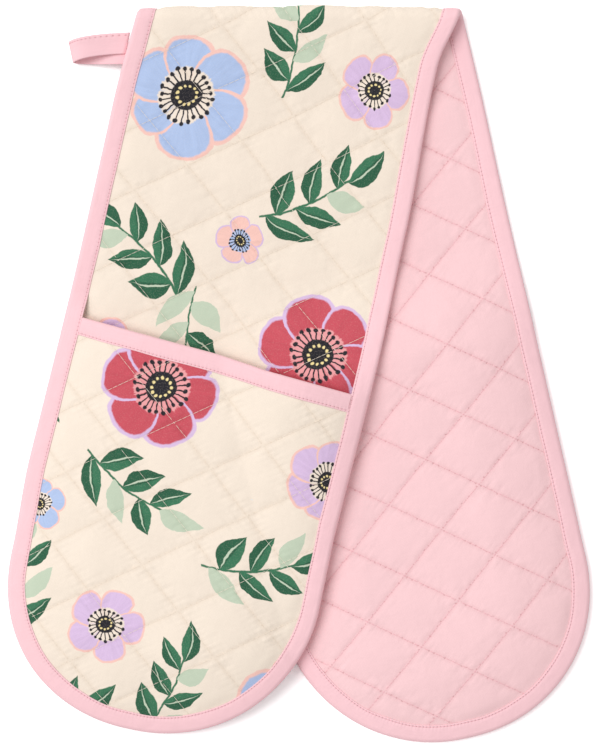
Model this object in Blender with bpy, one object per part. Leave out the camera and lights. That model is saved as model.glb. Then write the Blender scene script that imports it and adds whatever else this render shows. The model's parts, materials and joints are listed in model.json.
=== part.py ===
"""Double oven glove: a long quilted band with a hand pocket sewn over each end.

The glove is folded once, on a slant, and lies on a table: the front half on top with its
printed side and pocket up, the back half below with its plain lining up. Metres, +Z up.
X runs along the fold, Y points from the mitts to the fold, and the origin is on the table
under the middle of the glove.
"""

import math
from collections import namedtuple

import bmesh
import bpy
from mathutils import Matrix, Vector

MM = 0.001

# Band: the quilted strip that joins the two mitts
BAND_LENGTH = 880 * MM
BAND_WIDTH = 186 * MM
END_RADIUS = BAND_WIDTH / 2
END_FACETS = 16

# Fold: where the band is doubled over, a little off its middle and on a slant
FOLD_OFF_CENTRE = 3.2 * MM
FOLD_SLANT = math.radians(12.85)
FOLD_INNER_RADIUS = 2.0 * MM
FOLD_STEPS = 10
FOLD_LIFT_REACH = 60 * MM

# Quilt: two cloths with wadding between, sewn together in diamonds
CLOTH = 0.5 * MM
QUILT_THICKNESS = 5.2 * MM
PUFF_HEIGHT = 1.5 * MM
DIAMOND_WIDTH = 54.6 * MM
DIAMOND_LENGTH = 42.5 * MM
DIAMOND_SHIFT_ACROSS = 12.3 * MM
DIAMOND_SHIFT_ALONG = 20.8 * MM
SEAM_GAP = 0.3 * MM

# Binding: folded tape that wraps the cut edges
BINDING_WIDTH = 10.8 * MM
BINDING_CLOTH = 1.0 * MM
BINDING_SHOULDER_SHARE = 0.3
HEM_MARGIN = 0.6 * MM

# Hand pockets, and the room that a hand has in them
POCKET_LENGTH = 226.5 * MM
MOUTH_SLANT = math.radians(2.5)
HAND_ROOM = 8.0 * MM
HAND_ROOM_SPREAD = 55 * MM
POCKET_SEAM_GAP = 0.4 * MM
BINDING_STEP_LENGTH = 14 * MM
BACK_BAND_RISE_LENGTH = 60 * MM

# Lay: how the front half drapes over the back half and down to the table
LAY_CLEARANCE = 0.9 * MM
DRAPE_REACH = 110 * MM

# Hanging loop: folded tape under the front half's left edge
TAPE_WIDTH = 12.6 * MM
TAPE_THICKNESS = 0.9 * MM
LOOP_LENGTH = 29 * MM
LOOP_EYE = 9.0 * MM
LOOP_DROOP = 3.0 * MM
LOOP_FAN = 6 * MM
LOOP_DISTANCE_FROM_FOLD = 27 * MM
LOOP_STEPS = 20
LOOP_RUNNING_GAP = 0.3 * MM
LOOP_TIP_SLANT = math.radians(12)
LOOP_STRAND_GAP = 0.4 * MM
LOOP_ROOT_ROUNDING = math.radians(30)
SEWN_END_LENGTH = 9 * MM

# Derived from the sizes above
FOLD_NEUTRAL_RADIUS = FOLD_INNER_RADIUS + QUILT_THICKNESS / 2
FOLD_HALF_LENGTH = FOLD_NEUTRAL_RADIUS * math.pi / 2
FOLD_AXIS_HEIGHT = FOLD_INNER_RADIUS + QUILT_THICKNESS
FOLD_OUTER_RADIUS = FOLD_AXIS_HEIGHT - PUFF_HEIGHT + SEAM_GAP + BINDING_CLOTH
HEM = BINDING_WIDTH + HEM_MARGIN
CUT_EDGE = BINDING_CLOTH + SEAM_GAP
LOOP_STACK = 2 * TAPE_THICKNESS + LOOP_STRAND_GAP
SNAP = 0.02 * MM

PRINTED_CREAM = (0.93, 0.85, 0.75, 1)
LINING_PINK = (0.95, 0.68, 0.70, 1)
BINDING_PINK = (0.96, 0.62, 0.67, 1)
WADDING_WHITE = (0.90, 0.90, 0.88, 1)

Half = namedtuple("Half", "name side reach round_centre mouth")
Station = namedtuple("Station", "u v out_u out_v")


def make_half(name, side, reach):
    """side is 1 before the fold and -1 behind it; v runs from the fold to the tip."""
    return Half(name, side, reach, reach - END_RADIUS, reach - POCKET_LENGTH)


FRONT = make_half("front", 1, BAND_LENGTH / 2 - FOLD_OFF_CENTRE)
BACK = make_half("back", -1, BAND_LENGTH / 2 + FOLD_OFF_CENTRE)


def table_middle():
    """The plan point, measured from the fold's middle, that is above the origin."""
    left = -FRONT.round_centre * math.sin(FOLD_SLANT) - END_RADIUS
    right = BACK.round_centre * math.sin(FOLD_SLANT) + END_RADIUS
    low = FOLD_HALF_LENGTH - BACK.round_centre * math.cos(FOLD_SLANT) - END_RADIUS
    return Vector(((left + right) / 2, (low + FOLD_OUTER_RADIUS) / 2, 0))


MIDDLE = table_middle()
FOLD_AXIS = Vector((-MIDDLE.x, -MIDDLE.y, FOLD_AXIS_HEIGHT))


def smooth(share):
    """0 to 1 with level ends."""
    share = min(1, max(0, share))
    return share * share * (3 - 2 * share)


def from_fold(half, u, v):
    """Distance of a point of the flat half from the fold line, square to it."""
    return half.side * u * math.sin(FOLD_SLANT) + v * math.cos(FOLD_SLANT)


def edge_distance(half, u, v):
    """How far a point of the flat half lies inside the glove's outline."""
    if v < half.round_centre:
        return END_RADIUS - abs(u)
    return END_RADIUS - math.hypot(u, v - half.round_centre)


def mouth_line(half, u):
    """Where the pocket's mouth lies along the half, at u across it."""
    return half.mouth + u * math.tan(MOUTH_SLANT)


def plan(half, u, v):
    """World X and Y of a point of the flat half."""
    x = u * math.cos(FOLD_SLANT) - half.side * v * math.sin(FOLD_SLANT)
    y = FOLD_HALF_LENGTH - from_fold(half, u, v)
    return x - MIDDLE.x, y - MIDDLE.y


def hand_gap(half, u, v):
    """Height between the crests of band and pocket; below zero where puffs would meet."""
    seam = POCKET_SEAM_GAP - 2 * PUFF_HEIGHT
    share = (edge_distance(half, u, v) - CUT_EDGE) / HAND_ROOM_SPREAD
    share = min(1, max(0, share))
    return seam + (HAND_ROOM - seam) * math.sin(share * math.pi / 2)


def back_band_base(u, v):
    """Height of the back band above the table: it lies on its pocket and the hand room."""
    start = mouth_line(BACK, u) - BACK_BAND_RISE_LENGTH
    rise = smooth((v - start) / BACK_BAND_RISE_LENGTH)
    return rise * (QUILT_THICKNESS + hand_gap(BACK, u, v))


def front_base(x, y):
    """Height of the front half's underside: over the back half, then down to the table."""
    along = x + MIDDLE.x
    behind = y + MIDDLE.y - FOLD_HALF_LENGTH
    u = along * math.cos(FOLD_SLANT) + behind * math.sin(FOLD_SLANT)
    v = along * math.sin(FOLD_SLANT) - behind * math.cos(FOLD_SLANT)
    top = back_band_base(u, v) + QUILT_THICKNESS + LAY_CLEARANCE
    draped = top * (1 - smooth(-edge_distance(BACK, u, v) / DRAPE_REACH))
    at_fold = FOLD_AXIS_HEIGHT + FOLD_INNER_RADIUS
    lifted = 1 - smooth((FOLD_HALF_LENGTH - behind - 2 * FOLD_HALF_LENGTH) / FOLD_LIFT_REACH)
    return draped + (at_fold - draped) * lifted


def front_point(u, v, height):
    """A point of the front half at a height above its underside."""
    x, y = plan(FRONT, u, v)
    return Vector((x, y, front_base(x, y) + height))


def back_point(u, v, height):
    """A point of the back half at a height above the table."""
    x, y = plan(BACK, u, v)
    return Vector((x, y, height))


def fold_point(u, past_fold, depth):
    """A point of the doubled-over stretch, at a depth outwards from the inner crests."""
    v = (past_fold - u * math.sin(FOLD_SLANT)) / math.cos(FOLD_SLANT)
    x = u * math.cos(FOLD_SLANT) - v * math.sin(FOLD_SLANT)
    angle = past_fold / FOLD_NEUTRAL_RADIUS
    radius = FOLD_INNER_RADIUS + depth
    return FOLD_AXIS + Vector((x, radius * math.cos(angle), radius * math.sin(angle)))


def new_object(name, bm, material, parent):
    """Makes a bmesh of world points a named, smooth-shaded object on its parent empty."""
    bmesh.ops.recalc_face_normals(bm, faces=bm.faces[:])
    bm.transform(Matrix.Translation(-parent.location))
    mesh = bpy.data.meshes.new(name)
    bm.to_mesh(mesh)
    bm.free()
    mesh.shade_smooth()
    mesh.set_sharp_from_angle(angle=math.radians(50))
    mesh.materials.append(material)
    made = bpy.data.objects.new(name, mesh)
    made.parent = parent
    GLOVE.objects.link(made)
    return made


def new_material(name, colour, roughness):
    material = bpy.data.materials.new(name)
    material.use_nodes = True
    shader = material.node_tree.nodes["Principled BSDF"]
    shader.inputs["Base Color"].default_value = colour
    shader.inputs["Roughness"].default_value = roughness
    shader.inputs["Metallic"].default_value = 0
    return material


def new_empty(name, place):
    empty = bpy.data.objects.new(name, None)
    empty.location = place
    GLOVE.objects.link(empty)
    return empty


def cut(bm, place, normal, keep_both=False):
    """Cuts the flat sheet along a line, and drops what lies on the normal's side."""
    bmesh.ops.bisect_plane(
        bm,
        geom=bm.verts[:] + bm.edges[:] + bm.faces[:],
        dist=SNAP,
        plane_co=(place[0], place[1], 0),
        plane_no=(normal[0], normal[1], 0),
        clear_outer=not keep_both,
    )


def fold_cut(half):
    """A point and an outward normal of the line where the half meets the fold."""
    inward = (half.side * math.sin(FOLD_SLANT), math.cos(FOLD_SLANT))
    distance = FOLD_HALF_LENGTH + SEAM_GAP / 2
    place = (inward[0] * distance, inward[1] * distance)
    return place, (-inward[0], -inward[1])


def mouth_cut(half, inside):
    """The same for a line that runs along the pocket's mouth, inside it by a distance."""
    normal = (math.sin(MOUTH_SLANT), -math.cos(MOUTH_SLANT))
    return (0, half.mouth + inside / math.cos(MOUTH_SLANT)), normal


def diamond_grid(half):
    """A flat grid sheared so that its cells are the quilting's diamonds."""
    cells = 2 * math.ceil((half.reach + BAND_WIDTH) / DIAMOND_LENGTH)
    bm = bmesh.new()
    bmesh.ops.create_grid(bm, x_segments=cells, y_segments=cells, size=cells / 2)
    middle = round(half.reach / DIAMOND_LENGTH)
    for vert in bm.verts:
        a = vert.co.x + middle / 2
        b = vert.co.y - middle / 2
        vert.co.x = (a + b) * DIAMOND_WIDTH / 2 + DIAMOND_SHIFT_ACROSS
        vert.co.y = (a - b) * DIAMOND_LENGTH / 2 + half.side * DIAMOND_SHIFT_ALONG
    return bm


def quilted_sheet(half):
    """The half's flat cloth inside the binding, with a puff in each stitched diamond."""
    bm = diamond_grid(half)
    inner = END_RADIUS - HEM
    for side in (-1, 1):
        cut(bm, (side * inner, 0), (side, 0))
    step = math.pi / END_FACETS
    for facet in range(END_FACETS):
        angle = (facet + 0.5) * step
        out = (math.cos(angle), math.sin(angle))
        reach = inner * math.cos(step / 2)
        cut(bm, (out[0] * reach, half.round_centre + out[1] * reach), out)
    cut(bm, *fold_cut(half))
    puff = bm.verts.layers.float.new("puff")
    full_cell = DIAMOND_WIDTH * DIAMOND_LENGTH / 2
    for vert in bmesh.ops.poke(bm, faces=bm.faces[:], center_mode="MEAN")["verts"]:
        cell = sum(face.calc_area() for face in vert.link_faces)
        vert[puff] = min(1, math.sqrt(cell / full_cell))
    for inside in (-BINDING_STEP_LENGTH, CUT_EDGE, HEM):
        cut(bm, *mouth_cut(half, inside), keep_both=True)
    return bm


def pocket_sheet(half, sheet):
    """The part of the quilted sheet that covers the hand, flat along its mouth."""
    bm = sheet.copy()
    cut(bm, *mouth_cut(half, HEM))
    puff = bm.verts.layers.float["puff"]
    for vert in bm.verts:
        if on_line(vert, *mouth_cut(half, HEM)):
            vert[puff] = 0
    return bm


def on_line(vert, place, normal):
    return abs((vert.co.x - place[0]) * normal[0] + (vert.co.y - place[1]) * normal[1]) < 3 * SNAP


def station_at(half, vert, mouth):
    """The way out from a point of the sheet's rim, as long as the hem is to grow by 1."""
    u, v = vert.co.x, vert.co.y
    if mouth and on_line(vert, *mouth_cut(half, HEM)):
        at_side = END_RADIUS - abs(u) < HEM + 3 * SNAP
        out_u = math.copysign(1, u) if at_side else 0
        return Station(u, v, out_u, out_u * math.tan(MOUTH_SLANT) - 1 / math.cos(MOUTH_SLANT))
    if on_line(vert, *fold_cut(half)):
        out_u = math.copysign(1, u)
        return Station(u, v, out_u, -half.side * out_u * math.tan(FOLD_SLANT))
    if v < half.round_centre:
        return Station(u, v, math.copysign(1, u), 0)
    length = math.hypot(u, v - half.round_centre)
    return Station(u, v, u / length, (v - half.round_centre) / length)


def rim_edges(half, bm, mouth):
    """Edges of the sheet's rim that get a hem: all but those along the fold."""
    rim = [edge for edge in bm.edges if edge.is_boundary]
    rim = [e for e in rim if not all(on_line(v, *fold_cut(half)) for v in e.verts)]
    if mouth:
        return rim
    return [e for e in rim if not all(on_line(v, *mouth_cut(half, HEM)) for v in e.verts)]


def along_rim(half, vert):
    """Distance round the rim from the tip, to the left below zero."""
    u, v = vert.co.x, vert.co.y
    if v < half.round_centre:
        return math.copysign(END_RADIUS * math.pi / 2 + half.round_centre - v, u)
    return END_RADIUS * math.atan2(u, v - half.round_centre)


def hemmed(half, sheet, mouth):
    """The sheet with its hem, the flat margin that lies inside the binding."""
    bm = sheet.copy()
    bmesh.ops.triangulate(bm, faces=bm.faces[:])
    edges = rim_edges(half, bm, mouth)
    outer = {}
    for vert in {vert for edge in edges for vert in edge.verts}:
        station = station_at(half, vert, mouth)
        grow = Vector((station.out_u, station.out_v, 0)) * (HEM - CUT_EDGE)
        outer[vert] = bm.verts.new(vert.co + grow)
    for edge in edges:
        first, second = sorted(edge.verts, key=lambda vert: along_rim(half, vert))
        bm.faces.new((first, second, outer[first]))
        bm.faces.new((second, outer[second], outer[first]))
    return bm


def rim_stations(half, sheet):
    """The rim's points in order, from the fold's left end round the tip to its right."""
    points = {vert for edge in rim_edges(half, sheet, True) for vert in edge.verts}
    in_order = sorted(points, key=lambda vert: along_rim(half, vert))
    return [station_at(half, vert, False) for vert in in_order]


def mouth_stations(half, sheet):
    """The pocket's mouth from left to right."""
    line = mouth_cut(half, HEM)
    points = sorted((v for v in sheet.verts if on_line(v, *line)), key=lambda v: v.co.x)
    out_v = -1 / math.cos(MOUTH_SLANT)
    return [Station(vert.co.x, vert.co.y, 0, out_v) for vert in points]


def layer(name, sheet, low, high, point, material, parent):
    """One closed layer of the quilt, between two heights that follow the puffs."""
    bm = sheet.copy()
    puff = bm.verts.layers.float["puff"]
    under = bm.verts[:]
    grown = bmesh.ops.extrude_face_region(bm, geom=bm.faces[:])["geom"]
    over = [item for item in grown if isinstance(item, bmesh.types.BMVert)]
    for verts, height in ((under, low), (over, high)):
        for vert in verts:
            u, v = vert.co.x, vert.co.y
            vert.co = point(u, v, height(u, v, PUFF_HEIGHT * (1 - vert[puff])))
    return new_object(name, bm, material, parent)


def quilt(prefix, sheet, base, cloths, point, parent):
    """Under cloth, wadding and upper cloth, from a height function of the lower crests."""
    (under, under_material), (upper, upper_material) = cloths
    inner = CLOTH + SEAM_GAP

    def from_below(lift):
        return lambda u, v, drop: base(u, v) + drop + lift

    def from_above(lift):
        return lambda u, v, drop: base(u, v) + QUILT_THICKNESS - drop - lift

    layers = (
        (under, from_below(0), from_below(CLOTH), under_material),
        ("wadding", from_below(inner), from_above(inner), WADDING),
        (upper, from_above(CLOTH), from_above(0), upper_material),
    )
    for kind, low, high, material in layers:
        layer(f"{prefix}_{kind}", sheet, low, high, point, material, parent)


def binding(name, stations, lower, upper, width, point, parent):
    """Tape folded over an edge: a U section lofted from station to station.

    lower and upper give the heights of the wrapped stack at a point of the flat half.
    """
    bm = bmesh.new()
    nose = BINDING_CLOTH
    shoulder = nose * BINDING_SHOULDER_SHARE
    outline = (
        (width, -1, nose),
        (nose, -1, nose),
        (shoulder, -1, nose - shoulder),
        (0, -1, 0),
        (0, 1, 0),
        (shoulder, 1, nose - shoulder),
        (nose, 1, nose),
        (width, 1, nose),
        (width, 1, 0),
        (nose, 1, 0),
        (nose, -1, 0),
        (width, -1, 0),
    )
    rings = []
    for station in stations:
        ring = []
        for inside, way, thick in outline:
            out = HEM - inside
            u = station.u + out * station.out_u
            v = station.v + out * station.out_v
            stack = upper if way > 0 else lower
            height = stack(u, v) + way * (SEAM_GAP + thick)
            ring.append(bm.verts.new(point(u, v, height)))
        rings.append(ring)
    close_loft(bm, rings, [inside for inside, way, thick in outline])
    return new_object(name, bm, BINDING, parent)


def close_loft(bm, rings, inside):
    """Walls from ring to ring, and a cap on each end.

    inside says how far in each point of a ring lies. A wall is split from its outer point
    to the next ring's inner one, as the hems are, so that neighbours never cross.
    """
    count = len(inside)
    for first, second in zip(rings, rings[1:]):
        for i in range(count):
            j = (i + 1) % count
            if inside[i] < inside[j]:
                bm.faces.new((first[i], first[j], second[j]))
                bm.faces.new((first[i], second[j], second[i]))
            else:
                bm.faces.new((first[i], first[j], second[i]))
                bm.faces.new((first[j], second[j], second[i]))
    bm.faces.new(rings[0])
    bm.faces.new(reversed(rings[-1]))


def binding_step(half, u, v):
    """0 where the edge binding wraps the band alone, 1 where it wraps the pocket too."""
    past = v - mouth_line(half, u) + BINDING_STEP_LENGTH
    return min(1, max(0, past / (BINDING_STEP_LENGTH + CUT_EDGE)))


def make_front(parent):
    """The front half: band below, pocket above, both draped over the back half."""
    sheet = quilted_sheet(FRONT)
    pocket = pocket_sheet(FRONT, sheet)
    band_top = QUILT_THICKNESS - PUFF_HEIGHT

    def pocket_base(u, v):
        return QUILT_THICKNESS + hand_gap(FRONT, u, v)

    def edge_upper(u, v):
        return band_top + binding_step(FRONT, u, v) * pocket_base(u, v)

    cloths = (("lining", LINING), ("face", PRINT))
    band = hemmed(FRONT, sheet, False)
    quilt("front_band", band, lambda u, v: 0, cloths, front_point, parent)
    cover = hemmed(FRONT, pocket, True)
    quilt("front_pocket", cover, pocket_base, cloths, front_point, parent)
    binding(
        "front_edge_binding",
        rim_stations(FRONT, sheet),
        lambda u, v: PUFF_HEIGHT,
        edge_upper,
        BINDING_WIDTH,
        front_point,
        parent,
    )
    binding(
        "front_mouth_binding",
        mouth_stations(FRONT, pocket),
        lambda u, v: pocket_base(u, v) + PUFF_HEIGHT,
        lambda u, v: pocket_base(u, v) + band_top,
        BINDING_WIDTH,
        front_point,
        parent,
    )


def make_back(parent):
    """The back half: pocket on the table, band above it with its lining up."""
    sheet = quilted_sheet(BACK)
    pocket = pocket_sheet(BACK, sheet)
    band_top = QUILT_THICKNESS - PUFF_HEIGHT

    def edge_lower(u, v):
        alone = 1 - binding_step(BACK, u, v)
        return PUFF_HEIGHT + alone * back_band_base(u, v)

    cloths = (("face", PRINT), ("lining", LINING))
    band = hemmed(BACK, sheet, False)
    quilt("back_band", band, back_band_base, cloths, back_point, parent)
    cover = hemmed(BACK, pocket, True)
    quilt("back_pocket", cover, lambda u, v: 0, cloths, back_point, parent)
    binding(
        "back_edge_binding",
        rim_stations(BACK, sheet),
        edge_lower,
        lambda u, v: back_band_base(u, v) + band_top,
        BINDING_WIDTH,
        back_point,
        parent,
    )
    binding(
        "back_mouth_binding",
        mouth_stations(BACK, pocket),
        lambda u, v: PUFF_HEIGHT,
        lambda u, v: band_top,
        BINDING_WIDTH,
        back_point,
        parent,
    )


def fold_rows():
    """Distances past the fold line at which the doubled-over stretch is drawn."""
    end = FOLD_HALF_LENGTH - SEAM_GAP / 2
    return [end * (2 * row / FOLD_STEPS - 1) for row in range(FOLD_STEPS + 1)]


def make_fold(parent):
    """The short stretch of band and binding that bends through the fold."""
    band_top = QUILT_THICKNESS - PUFF_HEIGHT
    inner = CLOTH + SEAM_GAP
    half_width = END_RADIUS - CUT_EDGE
    layers = (
        ("fold_lining", PUFF_HEIGHT, PUFF_HEIGHT + CLOTH, LINING),
        ("fold_wadding", PUFF_HEIGHT + inner, band_top - inner, WADDING),
        ("fold_face", band_top - CLOTH, band_top, PRINT),
    )
    for name, low, high, material in layers:
        bm = bmesh.new()
        corners = ((-half_width, low), (half_width, low), (half_width, high), (-half_width, high))
        rings = [[bm.verts.new(fold_point(u, row, w)) for u, w in corners] for row in fold_rows()]
        close_loft(bm, rings, [0, 0, 0, 0])
        new_object(name, bm, material, parent)
    for name, side in (("fold_binding_left", -1), ("fold_binding_right", 1)):
        stations = [Station(side * (END_RADIUS - HEM), row, side, 0) for row in fold_rows()]
        binding(
            name,
            stations,
            lambda u, row: PUFF_HEIGHT,
            lambda u, row: band_top,
            BINDING_WIDTH,
            fold_point,
            parent,
        )


def loop_root():
    """Distance along the front half's left edge to the loop, and height below its crests."""
    v = (LOOP_DISTANCE_FROM_FOLD + END_RADIUS * math.sin(FOLD_SLANT)) / math.cos(FOLD_SLANT)
    binding_underside = PUFF_HEIGHT - SEAM_GAP - BINDING_CLOTH
    return v, binding_underside - SEAM_GAP - LOOP_STACK / 2


def loop_hinge():
    """The point that the loop turns about, just outside the glove's left edge."""
    v, height = loop_root()
    edge = front_point(-END_RADIUS, v, height)
    return edge - Vector((LOOP_STACK / 2 + LOOP_RUNNING_GAP, 0, 0))


def make_sewn_end(parent):
    """The tape's two ends, sewn flat together under the left edge binding."""
    v, height = loop_root()
    bm = bmesh.new()
    rings = []
    for inside in (0, SEWN_END_LENGTH):
        corners = ((-1, -1), (1, -1), (1, 1), (-1, 1))
        ring = []
        for along, way in corners:
            place = v + along * TAPE_WIDTH / 2
            ring.append(front_point(inside - END_RADIUS, place, height + way * LOOP_STACK / 2))
        rings.append([bm.verts.new(point) for point in ring])
    close_loft(bm, rings, [0, 0, 0, 0])
    new_object("loop_sewn_end", bm, BINDING, parent)


def loop_centre_line(turn):
    """Out, up and share out of the tape's middle, as turn goes from 0 to 1 round the loop."""
    share = math.sin(math.pi * turn)
    strands = (2 * turn - 1) * (LOOP_STACK - TAPE_THICKNESS) / 2
    eye = -(LOOP_EYE + TAPE_THICKNESS) / 2 * math.sin(2 * math.pi * turn) * share
    return LOOP_LENGTH * share, strands + eye - LOOP_DROOP * share * share, share


def make_loop(parent):
    """The tape loop that hangs the glove up: one strand out, round and back."""
    bm = bmesh.new()
    rings = []
    for step in range(LOOP_STEPS + 1):
        turn = step / LOOP_STEPS
        out, up, share = loop_centre_line(turn)
        out_before, up_before, _ = loop_centre_line(max(0, turn - 1 / LOOP_STEPS))
        out_after, up_after, _ = loop_centre_line(min(1, turn + 1 / LOOP_STEPS))
        run = Vector((out_after - out_before, up_after - up_before))
        if step in (0, LOOP_STEPS):
            run = Vector((run.x, 0))
        normal = Vector((-run.y, run.x)).normalized() * TAPE_THICKNESS / 2
        slant = math.tan(FOLD_SLANT) * (1 - share) - math.tan(LOOP_TIP_SLANT) * share
        ring = []
        for across, way in ((-1, -1), (1, -1), (1, 1), (-1, 1)):
            wide = across * TAPE_WIDTH / 2 + LOOP_FAN * (smooth(2 * turn - 1) - share / 2)
            ring.append(Vector((slant * wide - out - way * normal.x, wide, up + way * normal.y)))
        rings.append(ring)
    rings = [loop_root_ring(rings[0]), *rings, loop_root_ring(rings[-1])]
    verts = [[bm.verts.new(LOOP_HINGE + place) for place in ring] for ring in rings]
    close_loft(bm, verts, [0, 0, 0, 0])
    new_object("hanging_loop", bm, BINDING, parent)


def loop_root_ring(ring):
    """The end of a strand, rounded about the hinge so that it clears the sewn ends."""
    reach = LOOP_STACK / 2 * math.cos(LOOP_ROOT_ROUNDING)
    thick = LOOP_STACK / 2 * math.sin(LOOP_ROOT_ROUNDING)
    return [Vector((p.x + reach, p.y, math.copysign(min(abs(p.z), thick), p.z))) for p in ring]


def empty_scene():
    for old in list(bpy.data.objects):
        bpy.data.objects.remove(old)
    collection = bpy.data.collections.new("double_oven_glove")
    bpy.context.scene.collection.children.link(collection)
    return collection


GLOVE = empty_scene()
PRINT = new_material("printed_cotton", PRINTED_CREAM, 0.85)
LINING = new_material("pink_cotton", LINING_PINK, 0.85)
BINDING = new_material("pink_binding", BINDING_PINK, 0.8)
WADDING = new_material("wadding", WADDING_WHITE, 0.95)

LOOP_HINGE = loop_hinge()

back_half = new_empty("back_half", FOLD_AXIS)
front_half = new_empty("front_half", FOLD_AXIS)
loop = new_empty("loop", LOOP_HINGE)

make_back(back_half)
make_front(front_half)
make_fold(back_half)
make_sewn_end(front_half)
make_loop(loop)
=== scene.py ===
"""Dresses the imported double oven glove: quilted cloths, wadding, tape, loop and thread.

Metres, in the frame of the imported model: +Z up from the table, +Y from the mitts to the
fold, X along the fold. A point of the strip is u across it and s along it, measured from
the fold line: above zero towards the front mitt, below zero towards the back mitt. Its
level w is the height through the quilt, from the lining's crests to the face's crests.
"""

from __future__ import annotations

import json
import logging
import math
from dataclasses import dataclass
from enum import Enum
from functools import partial
from typing import Any, Callable, Iterator, Sequence

import bmesh
import bpy
import numpy as np
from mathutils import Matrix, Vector

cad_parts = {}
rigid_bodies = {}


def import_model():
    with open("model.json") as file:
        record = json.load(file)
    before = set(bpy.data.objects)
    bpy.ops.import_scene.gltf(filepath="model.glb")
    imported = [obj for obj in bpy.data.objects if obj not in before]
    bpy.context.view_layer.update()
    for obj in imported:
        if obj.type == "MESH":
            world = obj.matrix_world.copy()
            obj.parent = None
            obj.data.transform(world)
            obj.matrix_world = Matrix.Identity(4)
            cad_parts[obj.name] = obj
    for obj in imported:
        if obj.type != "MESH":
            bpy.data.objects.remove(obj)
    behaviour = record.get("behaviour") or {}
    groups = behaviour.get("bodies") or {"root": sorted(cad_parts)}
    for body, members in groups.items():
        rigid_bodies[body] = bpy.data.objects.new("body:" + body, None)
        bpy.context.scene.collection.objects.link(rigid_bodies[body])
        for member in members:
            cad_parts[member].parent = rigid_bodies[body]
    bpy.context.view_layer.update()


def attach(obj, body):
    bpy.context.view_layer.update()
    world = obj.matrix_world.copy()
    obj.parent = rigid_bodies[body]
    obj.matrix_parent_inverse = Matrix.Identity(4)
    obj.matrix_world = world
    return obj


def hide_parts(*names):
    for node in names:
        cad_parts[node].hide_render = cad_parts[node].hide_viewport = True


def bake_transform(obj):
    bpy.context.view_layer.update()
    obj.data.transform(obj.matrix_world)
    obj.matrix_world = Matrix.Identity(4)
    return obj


MM = 0.001
STITCH_LIFT = 0.04 * MM
LOG = logging.getLogger("oven_glove")
Array = np.ndarray
Levels = Callable[[Array, Array], tuple[Array, Array]]
Add = Callable[..., Any]


class Half(Enum):
    """The two halves of the folded strip, by the sign of their distances along it."""

    FRONT = 1
    BACK = -1


class Layer(Enum):
    """The quilt's layers, from its plain side to its printed side."""

    LINING = "lining"
    WADDING = "wadding"
    FACE = "face"


class Cut(Enum):
    """The two patches that each half is sewn from."""

    BAND = "band"
    POCKET = "pocket"


def smooth(share: Array) -> Array:
    """0 to 1 with level ends."""
    share = np.clip(share, 0, 1)
    return share * share * (3 - 2 * share)


def grid_faces(rows: int, columns: int) -> Array:
    """Corner numbers of each face of a grid of points."""
    i, j = np.meshgrid(np.arange(rows - 1), np.arange(columns - 1), indexing="ij")
    first = (i * columns + j).ravel()
    return np.stack([first, first + columns, first + columns + 1, first + 1], axis=1)


def placed(name: str, data: Any) -> bpy.types.Object:
    """A new object in the scene."""
    made = bpy.data.objects.new(name, data)
    bpy.context.scene.collection.objects.link(made)
    return made


@dataclass(frozen=True)
class Unevenness:
    """Smooth seeded unevenness between -1 and 1, the same each run."""

    seed: int

    def field(self, x: Array, y: Array) -> Array:
        """Unevenness of a surface.

        Args:
            x: First coordinate, in lengths of one swell.
            y: Second coordinate, the same way.

        Returns:
            A value for each point.
        """
        i, j = np.floor(x), np.floor(y)
        fx, fy = smooth(x - i), smooth(y - j)
        low = self.knot(i, j) * (1 - fx) + self.knot(i + 1, j) * fx
        high = self.knot(i, j + 1) * (1 - fx) + self.knot(i + 1, j + 1) * fx
        return low * (1 - fy) + high * fy

    def knot(self, i: Array, j: Array) -> Array:
        """The value at a whole-numbered point."""
        mixed = np.sin(i * 127.1 + j * 311.7 + self.seed * 74.7) * 43758.5453
        return 2 * (mixed - np.floor(mixed)) - 1


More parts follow.
